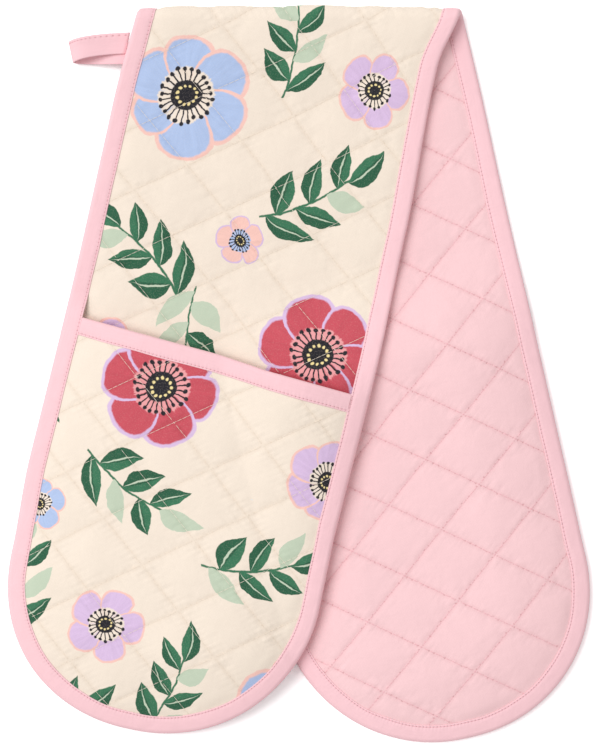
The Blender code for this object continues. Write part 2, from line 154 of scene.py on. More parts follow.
@dataclass(frozen=True)
class GloveLay:
    """How the strip is cut, folded and laid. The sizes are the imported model's own."""

    band_length: float = 880 * MM
    half_width: float = 93 * MM
    fold_off_centre: float = 3.2 * MM
    fold_slant: float = math.radians(12.85)
    fold_inner_radius: float = 2.0 * MM
    fold_lift_reach: float = 60 * MM
    fold_outer_radius: float = 7.0 * MM
    fold_bulge: float = 1.9 * MM
    fold_seam_gap: float = 0.15 * MM
    quilt: float = 5.2 * MM
    puff: float = 1.5 * MM
    hem: float = 11.4 * MM
    cut_edge: float = 1.3 * MM
    pocket_length: float = 226.5 * MM
    mouth_slant: float = math.radians(2.5)
    hand_room: float = 8.0 * MM
    hand_room_spread: float = 55 * MM
    pocket_seam_gap: float = 0.4 * MM
    binding_step_length: float = 14 * MM
    back_band_rise: float = 60 * MM
    lay_clearance: float = 0.9 * MM
    drape_reach: float = 110 * MM
    waver: float = 0.6 * MM
    waver_length: float = 85 * MM
    ease: float = 0.45 * MM
    ease_length: float = 42 * MM
    lean: float = 4.2 * MM
    lean_from: float = 170 * MM
    lean_length: float = 260 * MM
    back_share: float = 0.12
    outer_stretch: float = 2.0 * MM
    stretch_from: float = 20 * MM
    stretch_length: float = 60 * MM
    narrow_ahead: float = 50 * MM
    narrow_share: float = 1.6
    tip_fill: float = 1.8 * MM
    front_stretch: float = 2.2 * MM
    corner_draw: float = 6.2 * MM
    draw_length: float = 36 * MM
    draw_hold: float = 37 * MM
    draw_fade: float = 95 * MM

    @property
    def neutral_radius(self) -> float:
        """Radius of the fold at the middle of the quilt."""
        return self.fold_inner_radius + self.quilt / 2

    @property
    def fold_reach(self) -> float:
        """Length of the bend on either side of the fold line."""
        return self.neutral_radius * math.pi / 2

    @property
    def half_start(self) -> float:
        """Distance from the fold line at which the two halves begin."""
        return self.fold_reach + self.fold_seam_gap

    @property
    def axis_height(self) -> float:
        """Height of the fold's axis over the table."""
        return self.fold_inner_radius + self.quilt

    def reach(self, half: Half) -> float:
        """Distance from the fold line to a mitt's tip."""
        return self.band_length / 2 - half.value * self.fold_off_centre

    def round_centre(self, half: Half) -> float:
        """Distance along a half to the centre of its round end."""
        return self.reach(half) - self.half_width

    def mouth_line(self, half: Half, u: Array) -> Array:
        """Distance along a half to its pocket's mouth, at u across."""
        return self.reach(half) - self.pocket_length + u * math.tan(self.mouth_slant)

    def middle(self) -> tuple[float, float]:
        """The plan point, from the fold's middle, that is over the origin."""
        sin, cos = math.sin(self.fold_slant), math.cos(self.fold_slant)
        left = -self.round_centre(Half.FRONT) * sin - self.half_width
        right = self.round_centre(Half.BACK) * sin + self.half_width
        low = self.fold_reach - self.round_centre(Half.BACK) * cos - self.half_width
        return (left + right) / 2, (low + self.fold_outer_radius) / 2

    def past_fold(self, u: Array, s: Array) -> Array:
        """Distance of a strip point from the fold line, square to it."""
        return u * math.sin(self.fold_slant) + s * math.cos(self.fold_slant)

    def along(self, u: Array, past: Array) -> Array:
        """Distance along the strip of a point that is past the fold line by a distance."""
        return (past - u * math.sin(self.fold_slant)) / math.cos(self.fold_slant)

    def inside_edge(self, u: Array, s: Array) -> Array:
        """How far a strip point lies inside the glove's outline."""
        v = np.abs(s)
        front, back = self.round_centre(Half.FRONT), self.round_centre(Half.BACK)
        centre = np.where(s > 0, front, back)
        at_end = self.half_width - np.hypot(u, v - centre)
        return np.where(v < centre, self.half_width - np.abs(u), at_end)

    def inside_mouth(self, half: Half, u: Array, s: Array) -> Array:
        """How far a strip point lies inside the pocket, from its mouth."""
        return (half.value * s - self.mouth_line(half, u)) * math.cos(self.mouth_slant)

    def hand_gap(self, u: Array, s: Array) -> Array:
        """Height between the crests of band and pocket, where a hand goes."""
        seam = self.pocket_seam_gap - 2 * self.puff
        share = (self.inside_edge(u, s) - self.cut_edge) / self.hand_room_spread
        return seam + (self.hand_room - seam) * np.sin(np.clip(share, 0, 1) * math.pi / 2)

    def back_base(self, u: Array, s: Array) -> Array:
        """Height of the back band over the table: it lies on its pocket."""
        start = self.mouth_line(Half.BACK, u) - self.back_band_rise
        rise = smooth((-s - start) / self.back_band_rise)
        swell = Unevenness(13).field(u / self.ease_length, s / self.ease_length)
        clear = smooth((-s - self.fold_reach) / self.fold_lift_reach)
        return rise * (self.quilt + self.hand_gap(u, s)) + self.ease * (1 + swell) / 2 * clear

    def front_base(self, x: Array, y: Array) -> Array:
        """Height of the front half's underside: over the back half, then down."""
        sin, cos = math.sin(self.fold_slant), math.cos(self.fold_slant)
        middle_x, middle_y = self.middle()
        beside = x + middle_x
        behind = y + middle_y - self.fold_reach
        u = beside * cos + behind * sin
        s = -(beside * sin - behind * cos)
        top = self.back_base(u, s) + self.quilt + self.lay_clearance
        outside = np.where(s < 0, -self.inside_edge(u, s), np.abs(u) - self.half_width)
        draped = top * (1 - smooth(outside / self.drape_reach))
        at_fold = self.axis_height + self.fold_inner_radius
        lifted = 1 - smooth((-behind - self.fold_reach) / self.fold_lift_reach)
        draped = draped + self.ease * Unevenness(14).field(x / self.ease_length, y / self.ease_length)
        return draped + (at_fold - draped) * lifted

    def pocket_level(self, half: Half, u: Array, s: Array) -> Array:
        """Level of the pocket's lining crests, in the band's own levels."""
        if half is Half.BACK:
            return self.back_base(u, s)
        return self.quilt + self.hand_gap(u, s)

    def binding_step(self, half: Half, u: Array, s: Array) -> Array:
        """0 where the edge tape wraps the band alone, 1 where it wraps the pocket too."""
        past = half.value * s - self.mouth_line(half, u) + self.binding_step_length
        return np.clip(past / (self.binding_step_length + self.cut_edge), 0, 1)

    def place(self, u: Array, s: Array, w: Array) -> Array:
        """World points of the strip.

        Args:
            u: Distances across the strip.
            s: Distances along it, above zero on the front half.
            w: Levels through the quilt.

        Returns:
            Points as rows of x, y and z.
        """
        u, s, w = (np.asarray(a, float) for a in np.broadcast_arrays(u, s, w))
        sin, cos = math.sin(self.fold_slant), math.cos(self.fold_slant)
        middle_x, middle_y = self.middle()
        past = self.past_fold(u, s)
        flat = np.abs(past) > self.fold_reach
        angle = np.clip(past / self.neutral_radius, -math.pi / 2, math.pi / 2)
        radius = self.fold_inner_radius + w
        out, on = self.sway(u, s)
        x = (u + out) * cos - (s + on) * sin - middle_x
        bulge = self.fold_bulge * np.cos(angle) ** 2 * (1 - np.clip(u / self.half_width, -1, 1) ** 4)
        arc = radius * np.cos(angle) + bulge
        y = np.where(flat, self.fold_reach - np.abs(past), arc) - middle_y
        y = y - np.clip(past / self.fold_reach, -1, 1) * out * sin - np.abs(on) * cos
        front = self.front_base(x, y) + w
        back = self.back_base(u, s) + self.quilt - w
        z = np.where(past > 0, front, back)
        z = np.where(flat, z, self.axis_height + radius * np.sin(angle))
        return self.settle(np.stack([x, y, z], axis=-1))

    def sway(self, u: Array, s: Array) -> tuple[Array, Array]:
        """How far the laid cloth lies off the straight strip: both mitts lean outwards.

        Args:
            u: Distances across the strip.
            s: Distances along it.

        Returns:
            The shifts across and along the strip.
        """
        side, v = np.where(s > 0, -1.0, 1.0), np.abs(s)
        share = np.where(s > 0, 1.0, self.back_share)
        outer = np.clip(side * u / self.half_width, -1, 1)
        centre = np.where(s > 0, self.round_centre(Half.FRONT), self.round_centre(Half.BACK))
        far = smooth((v - self.lean_from) / self.lean_length)
        widened = smooth((v - self.stretch_from) / self.stretch_length)
        narrowed = self.narrow_share * smooth((v - centre + self.narrow_ahead) / self.stretch_length)
        stretch = self.outer_stretch * (widened - narrowed) * smooth((1 + outer) / 2)
        fill = self.tip_fill * np.clip(2 * outer * (v - centre) / self.half_width, 0, 1)
        fill = fill * smooth(v / self.drape_reach)
        down = fill + np.where(s > 0, self.front_stretch * far, 0)
        past = self.past_fold(u, s)
        drawn = smooth(past / self.draw_length) * (1 - smooth((past - self.draw_hold) / self.draw_fade))
        drawn = self.corner_draw * drawn * smooth(u / self.half_width)
        return side * (share * (self.lean * far + stretch) + fill) - drawn, -side * down

    def settle(self, points: Array) -> Array:
        """Lets the outline waver a little in plan, as hand-laid cloth does."""
        x, y = points[..., 0] / self.waver_length, points[..., 1] / self.waver_length
        settled = points.copy()
        settled[..., 0] += self.waver * Unevenness(11).field(x, y)
        from_fold = np.abs(points[..., 1] + self.middle()[1])
        share = smooth(from_fold / self.fold_lift_reach)
        settled[..., 1] += self.waver * share * Unevenness(12).field(x + 5.3, y)
        return settled


@dataclass(frozen=True)
class SewnDiamonds:
    """Cloth simulated over a few quilted diamonds, for the puffs and their gathers.

    The cloth is held at the seams and pushed up between them, as wadding does. There is a
    little more cloth than the diamonds measure, so it gathers along the seams.
    """

    width: float
    length: float
    count: int = 3
    steps: int = 36
    spare: float = 0.018
    push: float = 3.5
    stretch_stiffness: float = 30.0
    bend_stiffness: float = 3.0
    start_height: float = 0.012
    frames: int = 25
    steepness: float = 0.6

    def relief(self) -> Array:
        """Runs the simulation.

        Returns:
            Heights from 0 at the seams to 1 at the highest crest, on a grid of diamond
            coordinates with the given steps a diamond.
        """
        total = self.count * self.steps + 1
        i, j = (grid.ravel() for grid in np.meshgrid(*[np.arange(total)] * 2, indexing="ij"))
        side = math.hypot(self.width, self.length) / 2
        x = (i + j) / self.steps * self.width / 2 / side
        y = (i - j) / self.steps * self.length / 2 / side
        seam = (i % self.steps == 0) | (j % self.steps == 0)
        rough = np.abs(Unevenness(41).field(i / 3.1, j / 3.1))
        z = np.where(seam, 0, self.start_height * rough)
        first = (i * total + j)[(i < total - 1) & (j < total - 1)]
        faces = np.stack([first, first + 1, first + total + 1, first + total], axis=1)
        mesh = bpy.data.meshes.new("trial_cloth")
        mesh.from_pydata(np.stack([x, y, z], axis=1).tolist(), [], faces.tolist())
        cloth = placed("trial_cloth", mesh)
        cloth.vertex_groups.new(name="seams").add(np.flatnonzero(seam).tolist(), 1.0, "REPLACE")
        self.let_go(cloth)
        height = self.settled_heights(cloth)
        bpy.data.objects.remove(cloth)
        height = np.clip(height / height.max(), 0, 1) ** self.steepness
        return height.reshape(total, total)

    def let_go(self, cloth: bpy.types.Object) -> None:
        """Gives the cloth its simulation, held at the seams."""
        settings = cloth.modifiers.new("sewn cloth", "CLOTH").settings
        settings.quality = 5
        settings.tension_stiffness = self.stretch_stiffness
        settings.compression_stiffness = self.stretch_stiffness
        settings.shear_stiffness = self.stretch_stiffness / 3
        settings.bending_stiffness = self.bend_stiffness
        settings.vertex_group_mass = "seams"
        settings.shrink_min = -self.spare
        settings.effector_weights.gravity = 0
        settings.use_pressure = True
        settings.uniform_pressure_force = self.push
        settings.air_damping = 2.0

    def settled_heights(self, cloth: bpy.types.Object) -> Array:
        """Steps through the frames and reads the heights of the cloth's points."""
        scene = bpy.context.scene
        for frame in range(1, self.frames + 1):
            scene.frame_set(frame)
        seen = cloth.evaluated_get(bpy.context.evaluated_depsgraph_get())
        points = np.empty(3 * len(seen.data.vertices), np.float32)
        seen.data.vertices.foreach_get("co", points)
        scene.frame_set(1)
        return points[2::3].astype(float)


@dataclass(frozen=True)
class Quilting:
    """The diamonds sewn through both cloths and the wadding, and the puffs between."""

    diamond_width: float = 54.6 * MM
    diamond_length: float = 42.5 * MM
    shift_across: float = 12.3 * MM
    shift_along: float = 20.8 * MM
    thickness: float = 5.2 * MM
    puff: float = 1.5 * MM
    cloth: float = 0.5 * MM
    wadding_gap: float = 0.08 * MM
    rim_rise: float = 6 * MM
    roundness: float = 0.45
    stitches_a_side: int = 10
    gather: float = 0.30 * MM
    gather_reach: float = 2.4 * MM
    relief: Array | None = None

    @classmethod
    def sewn(cls) -> Quilting:
        """The quilting, with its puffs simulated."""
        plain = cls()
        trial = SewnDiamonds(plain.diamond_width, plain.diamond_length)
        return cls(relief=trial.relief())

    @property
    def side(self) -> float:
        """Length of a diamond's side."""
        return math.hypot(self.diamond_width, self.diamond_length) / 2

    @property
    def seam_spacing(self) -> float:
        """Distance between seams that run side by side."""
        return self.diamond_width * self.diamond_length / 2 / self.side

    def cell_of(self, u: Array, s: Array) -> tuple[Array, Array]:
        """Diamond coordinates of strip points; seams run where one is whole."""
        across = (u - self.shift_across) / self.diamond_width
        along = (s - self.shift_along) / self.diamond_length
        return across + along, across - along

    def strip_of(self, a: Array, b: Array) -> tuple[Array, Array]:
        """Strip coordinates of diamond coordinates."""
        u = (a + b) * self.diamond_width / 2 + self.shift_across
        return u, (a - b) * self.diamond_length / 2 + self.shift_along

    def seam_runs(self, reach: int) -> Iterator[tuple[Array, Array]]:
        """Strip points of the stitches along each seam, one seam at a time."""
        run = np.arange(-reach, reach + 1, 1 / self.stitches_a_side)
        for family in (0, 1):
            for number in range(-reach, reach + 1):
                fixed = np.full_like(run, number)
                yield self.strip_of(*((fixed, run) if family == 0 else (run, fixed)))

    def swell(self, a: Array, b: Array, seed: int) -> Array:
        """Height of the puffs. Each diamond takes a simulated one, turned or mirrored.

        Args:
            a: First diamond coordinate.
            b: Second diamond coordinate.
            seed: Picks which diamond takes which.

        Returns:
            Heights from 0 at the seams to 1 at the highest crest.
        """
        count = SewnDiamonds.count
        steps = (self.relief.shape[0] - 1) // count
        i, j = np.floor(a), np.floor(b)
        drawn = (Unevenness(seed).knot(i, j) + 1) / 2 * count
        column = np.floor(drawn)
        drawn = (drawn - column) * count
        row = np.floor(drawn)
        turned = drawn - row
        x, y = a - i, b - j
        x, y = np.where(turned > 0.5, 1 - x, x), np.where(turned > 0.5, 1 - y, y)
        mirrored = turned * 2 % 1 > 0.5
        x, y = np.where(mirrored, y, x), np.where(mirrored, x, y)
        x, y = (column + x) * steps, (row + y) * steps
        left = np.clip(np.floor(x), 0, count * steps - 1).astype(int)
        under = np.clip(np.floor(y), 0, count * steps - 1).astype(int)
        x, y = x - left, y - under
        low = self.relief[left, under] * (1 - x) + self.relief[left + 1, under] * x
        high = self.relief[left, under + 1] * (1 - x) + self.relief[left + 1, under + 1] * x
        round_top = np.sin(math.pi * (a - i)) * np.sin(math.pi * (b - j))
        return (low * (1 - y) + high * y) * (1 - self.roundness) + round_top * self.roundness

    def drop(self, u: Array, s: Array, rim: Array, seed: int) -> Array:
        """How far a cloth lies below its crests.

        Args:
            u: Distances across the strip.
            s: Distances along it.
            rim: Distance from where a binding holds the cloth flat.
            seed: Picks the cloth's own unevenness.

        Returns:
            Drops in metres, 0 at a full crest.
        """
        a, b = self.cell_of(u, s)
        noise = Unevenness(seed)
        swell = self.swell(a, b, seed)
        full = 0.94 + 0.08 * noise.field(np.floor(a) * 3.7, np.floor(b) * 5.1)
        crease = 1 - np.abs(noise.field(u / (16 * MM) + s / (40 * MM), s / (27 * MM)))
        full = full + 0.10 * noise.field(u / (21 * MM), s / (26 * MM)) - 0.10 * crease**6
        held = np.sin(np.clip(rim / self.rim_rise, 0, 1) * math.pi / 2) ** 0.8
        gathers = np.zeros_like(u)
        for whole, run in ((a, b), (b, a)):
            line = np.round(whole)
            away = np.abs(whole - line) * self.seam_spacing / self.gather_reach
            stitch = run * self.stitches_a_side
            uneven = noise.field(stitch * 0.9, line * 17.3 + away * 0.4)
            gathers += away * np.exp(1 - away) * (uneven + 0.5 * np.cos(2 * math.pi * stitch))
        sunk = self.puff * (1 - np.clip(swell * full, 0, 1) * held)
        return np.clip(sunk - self.gather * gathers * held, 0, None)

    def levels(self, layer: Layer, u: Array, s: Array, rim: Array) -> tuple[Array, Array]:
        """The two surfaces of a layer, towards the lining and towards the face."""
        low = self.drop(u, s, rim, 21)
        high = self.thickness - self.drop(u, s, rim, 22)
        if layer is Layer.LINING:
            return low, low + self.cloth
        if layer is Layer.FACE:
            return high - self.cloth, high
        inner = self.cloth + self.wadding_gap
        return low + inner, np.maximum(high - inner, low + inner + 0.05 * MM)


@dataclass
class Patch:
    """A flat patch of cloth: its points on the strip and the faces between them."""

    u: Array
    s: Array
    faces: Array

    def area(self) -> float:
        """The patch's flat area."""
        x, y = self.u[self.faces], self.s[self.faces]
        turned = x * np.roll(y, -1, axis=1) - y * np.roll(x, -1, axis=1)
        return float(np.abs(turned.sum(axis=1)).sum() / 2)

    def size(self) -> tuple[float, float]:
        """Its width and length as cut."""
        return float(np.ptp(self.u)), float(np.ptp(self.s))


@dataclass(frozen=True)
class PatchCutter:
    """Cuts cloth on a grid that follows the diamonds, fine near their seams."""

    lay: GloveLay
    quilting: Quilting
    crowding: float = 0.55
    fine: int = 20

    def cut(self, half: Half, cut: Cut, steps: int) -> Patch:
        """Cuts one patch.

        Args:
            half: The half that it belongs to.
            cut: Band or pocket.
            steps: Grid steps across one diamond.

        Returns:
            The patch, with its outer points on its outline.
        """
        a, b, faces = self._diamond_grid(half, steps)
        u, s = self.quilting.strip_of(a, b)
        limits = self.limits(half, cut, u, s)
        keep = (limits > 0)[faces].any(axis=1)
        used, faces = np.unique(faces[keep], return_inverse=True)
        u, s = self._draw_in(half, cut, u[used], s[used])
        return Patch(u, s, faces.reshape(-1, 4))

    def limits(self, half: Half, cut: Cut, u: Array, s: Array) -> Array:
        """How far inside the patch's outline each point lies."""
        lay = self.lay
        inside = lay.inside_edge(u, s) - lay.cut_edge
        inside = np.minimum(inside, half.value * lay.past_fold(u, s) - lay.half_start)
        if cut is Cut.POCKET:
            inside = np.minimum(inside, lay.inside_mouth(half, u, s) - lay.cut_edge)
        return inside

    def rim(self, half: Half, cut: Cut, u: Array, s: Array) -> Array:
        """Distance from where a binding holds the patch flat."""
        rim = self.lay.inside_edge(u, s) - self.lay.hem
        if cut is Cut.POCKET:
            rim = np.minimum(rim, self.lay.inside_mouth(half, u, s) - self.lay.hem)
        return rim

    def _diamond_grid(self, half: Half, steps: int) -> tuple[Array, Array, Array]:
        """Grid points in diamond coordinates, and the faces between them."""
        ends = half.value * np.array([-60 * MM, self.lay.reach(half)])
        width = self.lay.half_width
        corners = [self.quilting.cell_of(u, s) for u in (-width, width) for s in ends]
        lines = []
        for axis in (0, 1):
            values = [corner[axis] for corner in corners]
            low, high = math.floor(min(values)), math.ceil(max(values))
            t = np.arange((high - low) * steps + 1) / steps
            crowding = self.crowding if steps < self.fine else self.crowding / 4
            lines.append(low + t - crowding * np.sin(2 * math.pi * t) / (2 * math.pi))
        a, b = (grid.ravel() for grid in np.meshgrid(*lines, indexing="ij"))
        return a, b, grid_faces(len(lines[0]), len(lines[1]))

    def _draw_in(self, half: Half, cut: Cut, u: Array, s: Array) -> tuple[Array, Array]:
        """Moves points that are outside the outline on to it."""
        lay = self.lay
        width = lay.half_width - lay.cut_edge
        centre = lay.round_centre(half)
        v = half.value * s
        far = np.hypot(u, v - centre)
        pull = np.where((v > centre) & (far > width), width / np.maximum(far, 1e-9), 1)
        u, v = u * pull, np.where(v > centre, centre + (v - centre) * pull, v)
        u = np.clip(u, -width, width)
        v = np.maximum(v, half.value * lay.along(u, half.value * lay.half_start))
        if cut is Cut.POCKET:
            inset = lay.cut_edge / math.cos(lay.mouth_slant)
            v = np.maximum(v, lay.mouth_line(half, u) + inset)
        return u, half.value * v


def mesh_object(
    name: str, points: Array, faces: Any, uv: Array, finish: bpy.types.Material, strip: Array | None = None
) -> bpy.types.Object:
    """Makes a smooth mesh object at the origin.

    Args:
        name: The object's name.
        points: World points as rows.
        faces: Corner numbers of each face.
        uv: Cloth coordinates of each point, in metres.
        finish: The material.
        strip: Places on the strip, in metres, where the piece is quilted.

    Returns:
        The linked object.
    """
    mesh = bpy.data.meshes.new(name)
    mesh.from_pydata(points.tolist(), [], faces)
    mesh.validate()
    corners = np.empty(len(mesh.loops), np.int32)
    mesh.loops.foreach_get("vertex_index", corners)
    for label, values in (("cloth", uv), ("strip", strip)):
        if values is not None:
            layer = mesh.uv_layers.new(name=label)
            layer.data.foreach_set("uv", values[corners].astype(np.float32).ravel())
    mesh.shade_smooth()
    mesh.set_sharp_from_angle(angle=math.radians(60))
    mesh.materials.append(finish)
    return placed(name, mesh)


def clean_faces(faces: Array, same: Array) -> list[list[int]]:
    """Faces with doubled corners merged, and those that vanish left out."""
    cleaned = []
    for face in same[faces].tolist():
        corners = [c for k, c in enumerate(face) if c != face[k - 1]]
        if len(corners) > 2 and len(set(corners)) == len(corners):
            cleaned.append(corners)
    return cleaned


def shell(
    name: str, patch: Patch, low: Array, high: Array, uv: Array, finish: bpy.types.Material
) -> bpy.types.Object:
    """Closes a patch into a thin solid between two surfaces.

    Args:
        name: The object's name.
        patch: The flat patch.
        low: World points of one surface, one for each point of the patch.
        high: World points of the other.
        uv: Cloth coordinates in metres.
        finish: The material.

    Returns:
        The object, its faces outwards.
    """
    plan = np.round(np.stack([patch.u, patch.s], axis=1) / (0.02 * MM)).astype(np.int64)
    _, first, back = np.unique(plan, axis=0, return_index=True, return_inverse=True)
    faces = clean_faces(patch.faces, first[back.ravel()])
    sample = faces[len(faces) // 2]
    a, b, c = (high[sample[k]] for k in (0, 1, 2))
    if np.dot(np.cross(b - a, c - b), high[sample[0]] - low[sample[0]]) < 0:
        faces = [face[::-1] for face in faces]
    count = len(patch.u)
    edges = {(f[k - 1], f[k]) for f in faces for k in range(len(f))}
    rim = [(b, a, a + count, b + count) for a, b in edges if (b, a) not in edges]
    under = [[corner + count for corner in reversed(face)] for face in faces]
    points = np.concatenate([high, low])
    strip = np.stack([patch.u, patch.s], axis=1)
    twice = [np.concatenate([values, values]) for values in (uv, strip)]
    made = mesh_object(name, points, faces + under + rim, twice[0], finish, twice[1])
    drop_loose(made.data)
    return made


def drop_loose(mesh: bpy.types.Mesh) -> None:
    """Removes the points that no face uses."""
    bm = bmesh.new()
    bm.from_mesh(mesh)
    bmesh.ops.delete(bm, geom=[v for v in bm.verts if not v.link_faces], context="VERTS")
    bm.to_mesh(mesh)
    bm.free()


def linear(hex_colour: str) -> tuple[float, float, float, float]:
    """Turns an sRGB hex colour, such as #F5E9DA, to linear with full opacity."""
    values = [int(hex_colour[k : k + 2], 16) / 255 for k in (1, 3, 5)]
    turned = [v / 12.92 if v <= 0.04045 else ((v + 0.055) / 1.055) ** 2.4 for v in values]
    return (turned[0], turned[1], turned[2], 1.0)


def feed(tree: bpy.types.NodeTree, made: bpy.types.Node, *values: Any, **named: Any) -> None:
    """Fills a node's inputs, each with a value, a socket or a node.

    Args:
        tree: The node's tree.
        made: The node.
        values: For its shown inputs in order; None leaves one.
        named: For inputs by name, with _ for a space.
    """
    pairs = list(zip([socket for socket in made.inputs if socket.enabled], values))
    pairs += [(made.inputs[key.replace("_", " ")], value) for key, value in named.items()]
    for socket, value in pairs:
        if isinstance(value, bpy.types.Node):
            value = next(out for out in value.outputs if out.enabled)
        if isinstance(value, bpy.types.NodeSocket):
            tree.links.new(value, socket)
        elif value is not None:
            given = value[: len(socket.default_value)] if isinstance(value, tuple) else value
            socket.default_value = given


def node(tree: bpy.types.NodeTree, kind: str, *values: Any, **settings: Any) -> bpy.types.Node:
    """Adds a node with its settings and links.

    Args:
        tree: The tree that it goes into.
        kind: The node's type name, without its family where that is Shader, and its operation
            or kind of data. An operation alone means a Math node.
        values: What its inputs are fed, in order.
        settings: Its settings, and what its inputs are fed by name.

    Returns:
        The node.
    """
    kind, _, way = (f"Math {kind}" if kind.isupper() else kind).partition(" ")
    family = "" if kind.startswith(("Geometry", "Function", "Node")) else "ShaderNode"
    made = tree.nodes.new(family + kind)
    if way:
        setattr(made, "operation" if hasattr(made, "operation") else "data_type", way)
    for key in [key for key in settings if hasattr(made, key)]:
        setattr(made, key, settings.pop(key))
    feed(tree, made, *values, **settings)
    return made


def new_group(
    name: str, inputs: dict[str, str], outputs: dict[str, str], kind: str = "ShaderNodeTree"
) -> tuple[bpy.types.NodeTree, bpy.types.Node, bpy.types.Node]:
    """Starts a node group.

    Args:
        name: The group's name.
        inputs: Kind of socket of each named input.
        outputs: Kind of socket of each named output.
        kind: The kind of tree.

    Returns:
        The tree, its input node and its output node.
    """
    tree = bpy.data.node_groups.new(name, kind)
    for way, sockets in (("INPUT", inputs), ("OUTPUT", outputs)):
        for label, socket in sockets.items():
            tree.interface.new_socket(label, in_out=way, socket_type=f"NodeSocket{socket}")
    return tree, tree.nodes.new("NodeGroupInput"), tree.nodes.new("NodeGroupOutput")


def start_material(name: str, shade: str) -> tuple[bpy.types.Material, bpy.types.NodeTree, bpy.types.Node]:
    """A new material with its tree and its shader."""
    material = bpy.data.materials.new(name)
    material.use_nodes = True
    material.diffuse_color = linear(shade)
    return material, material.node_tree, material.node_tree.nodes["Principled BSDF"]


@dataclass(frozen=True)
class PlainWeave:
    """The thread of a plain-woven cotton: a bump, and a faint change of colour.

    Cotton sheeting has some 24 threads to the centimetre, 0.42 mm apart. They are drawn
    0.9 mm apart, because finer ones would not show in the render.
    """

    thread: float = 0.9 * MM
    slub: float = 7 * MM

    def group(self) -> bpy.types.NodeTree:
        """The group that turns cloth coordinates to a height and a shade."""
        outputs = {"Height": "Float", "Shade": "Float"}
        tree, given, out = new_group("plain_weave", {"Cloth": "Vector"}, outputs)
        add = partial(node, tree)
        cloth = given.outputs["Cloth"]
        noises = []
        for across, along in ((self.thread, self.slub), (self.slub, self.thread)):
            spread = add("Mapping", cloth, Scale=(1 / across, 1 / along, 1))
            noises.append(add("TexNoise", Scale=1.0, Detail=2.0, Roughness=0.5, Vector=spread))
        total = add("ADD", *noises)
        parts = add("SeparateXYZ", cloth).outputs
        turned = [add("MULTIPLY", parts[k], math.pi / self.thread) for k in (0, 1)]
        warp, weft = (add("SINE", turn) for turn in turned)
        over = add("MULTIPLY", warp, weft)
        over = add("MULTIPLY_ADD", over, 0.25, total)
        broad = add("TexNoise", Scale=38.0, Detail=3.0, Roughness=0.55, Vector=cloth)
        mixed = add("MULTIPLY", broad, 0.07)
        mixed = add("MULTIPLY_ADD", over, 0.045, mixed)
        feed(tree, out, Height=over, Shade=add("ADD", mixed, 0.92))
        return tree


@dataclass(frozen=True)
class SeamMarks:
    """What quilting leaves on a cloth: masks of the valley beside each seam and of the needle holes, where
    the cloths paint shade, and the height of small gathers.
    """

    quilting: Quilting
    valley: float = 2.8 * MM
    hole: float = 0.7 * MM
    gather: float = 0.36 * MM
    gather_reach: float = 6.5 * MM
    wobble: float = 2.4 * MM

    def group(self) -> bpy.types.NodeTree:
        """The group that turns strip coordinates to masks for painted shade beside the seams and in the
        needle holes, and the gathers' height.
        """
        marks = {"Valley": "Float", "Hole": "Float", "Height": "Float"}
        tree, given, out = new_group("seam_marks", {"Strip": "Vector"}, marks)
        add = partial(node, tree)
        quilting = self.quilting
        strip = given.outputs["Strip"]
        noise = add("TexNoise", strip, Scale=330.0, Detail=2.0)
        uneven = add("MapRange", noise, 0.38, 0.56, 0.3, 1.0)
        aim = (quilting.shift_across + self.wobble / 2, quilting.shift_along + self.wobble / 2, 0)
        pulled = add("VectorMath SCALE", noise.outputs["Color"], Scale=self.wobble)
        moved = add("VectorMath ADD", strip, pulled)
        moved = add("VectorMath SUBTRACT", moved, aim)
        parts = add("SeparateXYZ", moved)
        across = add("DIVIDE", parts.outputs[0], quilting.diamond_width)
        along = add("DIVIDE", parts.outputs[1], quilting.diamond_length)
        a = add("ADD", across, along)
        b = add("SUBTRACT", across, along)
        pitch = quilting.side / quilting.stitches_a_side
        valley: Any = 0.0
        hole: Any = 0.0
        height: Any = 0.0
        for whole, run in ((a, b), (b, a)):
            line = add("ROUND", whole)
            aside = add("SUBTRACT", whole, line)
            aside = add("MULTIPLY", aside, quilting.seam_spacing)
            away = add("ABSOLUTE", aside)
            stitch = add("MULTIPLY", run, float(quilting.stitches_a_side))
            step = add("FRACT", stitch)
            step = add("SUBTRACT", step, 0.5)
            step = add("MULTIPLY", step, pitch)
            spot = add("VectorMath LENGTH", add("CombineXYZ", aside, step))
            # Needle holes: this mask dents the cloth and also darkens its colour as painted shade.
            pit = add("MapRange", spot.outputs["Value"], self.hole, self.hole / 4)
            hole = add("MAXIMUM", pit, hole)
            # Painted shade: this valley mask only darkens the colour beside each seam.
            dip = add("MapRange", away, self.valley, 0.0, interpolation_type="SMOOTHSTEP")
            valley = add("MAXIMUM", dip, valley)
            drawn = add("MULTIPLY", aside, 1 / self.gather_reach)
            drawn = add("CombineXYZ", stitch, drawn, line)
            folds = add("TexNoise", drawn, Scale=0.9, Detail=1.5, Roughness=0.6)
            near = add("MapRange", away, self.gather_reach, 0.0, interpolation_type="SMOOTHSTEP")
            folds = add("MULTIPLY", folds, near)
            height = add("MULTIPLY_ADD", folds, self.gather, height)
        hole = add("MULTIPLY", hole, uneven)
        feed(tree, out, Valley=valley, Hole=hole, Height=height)
        return tree


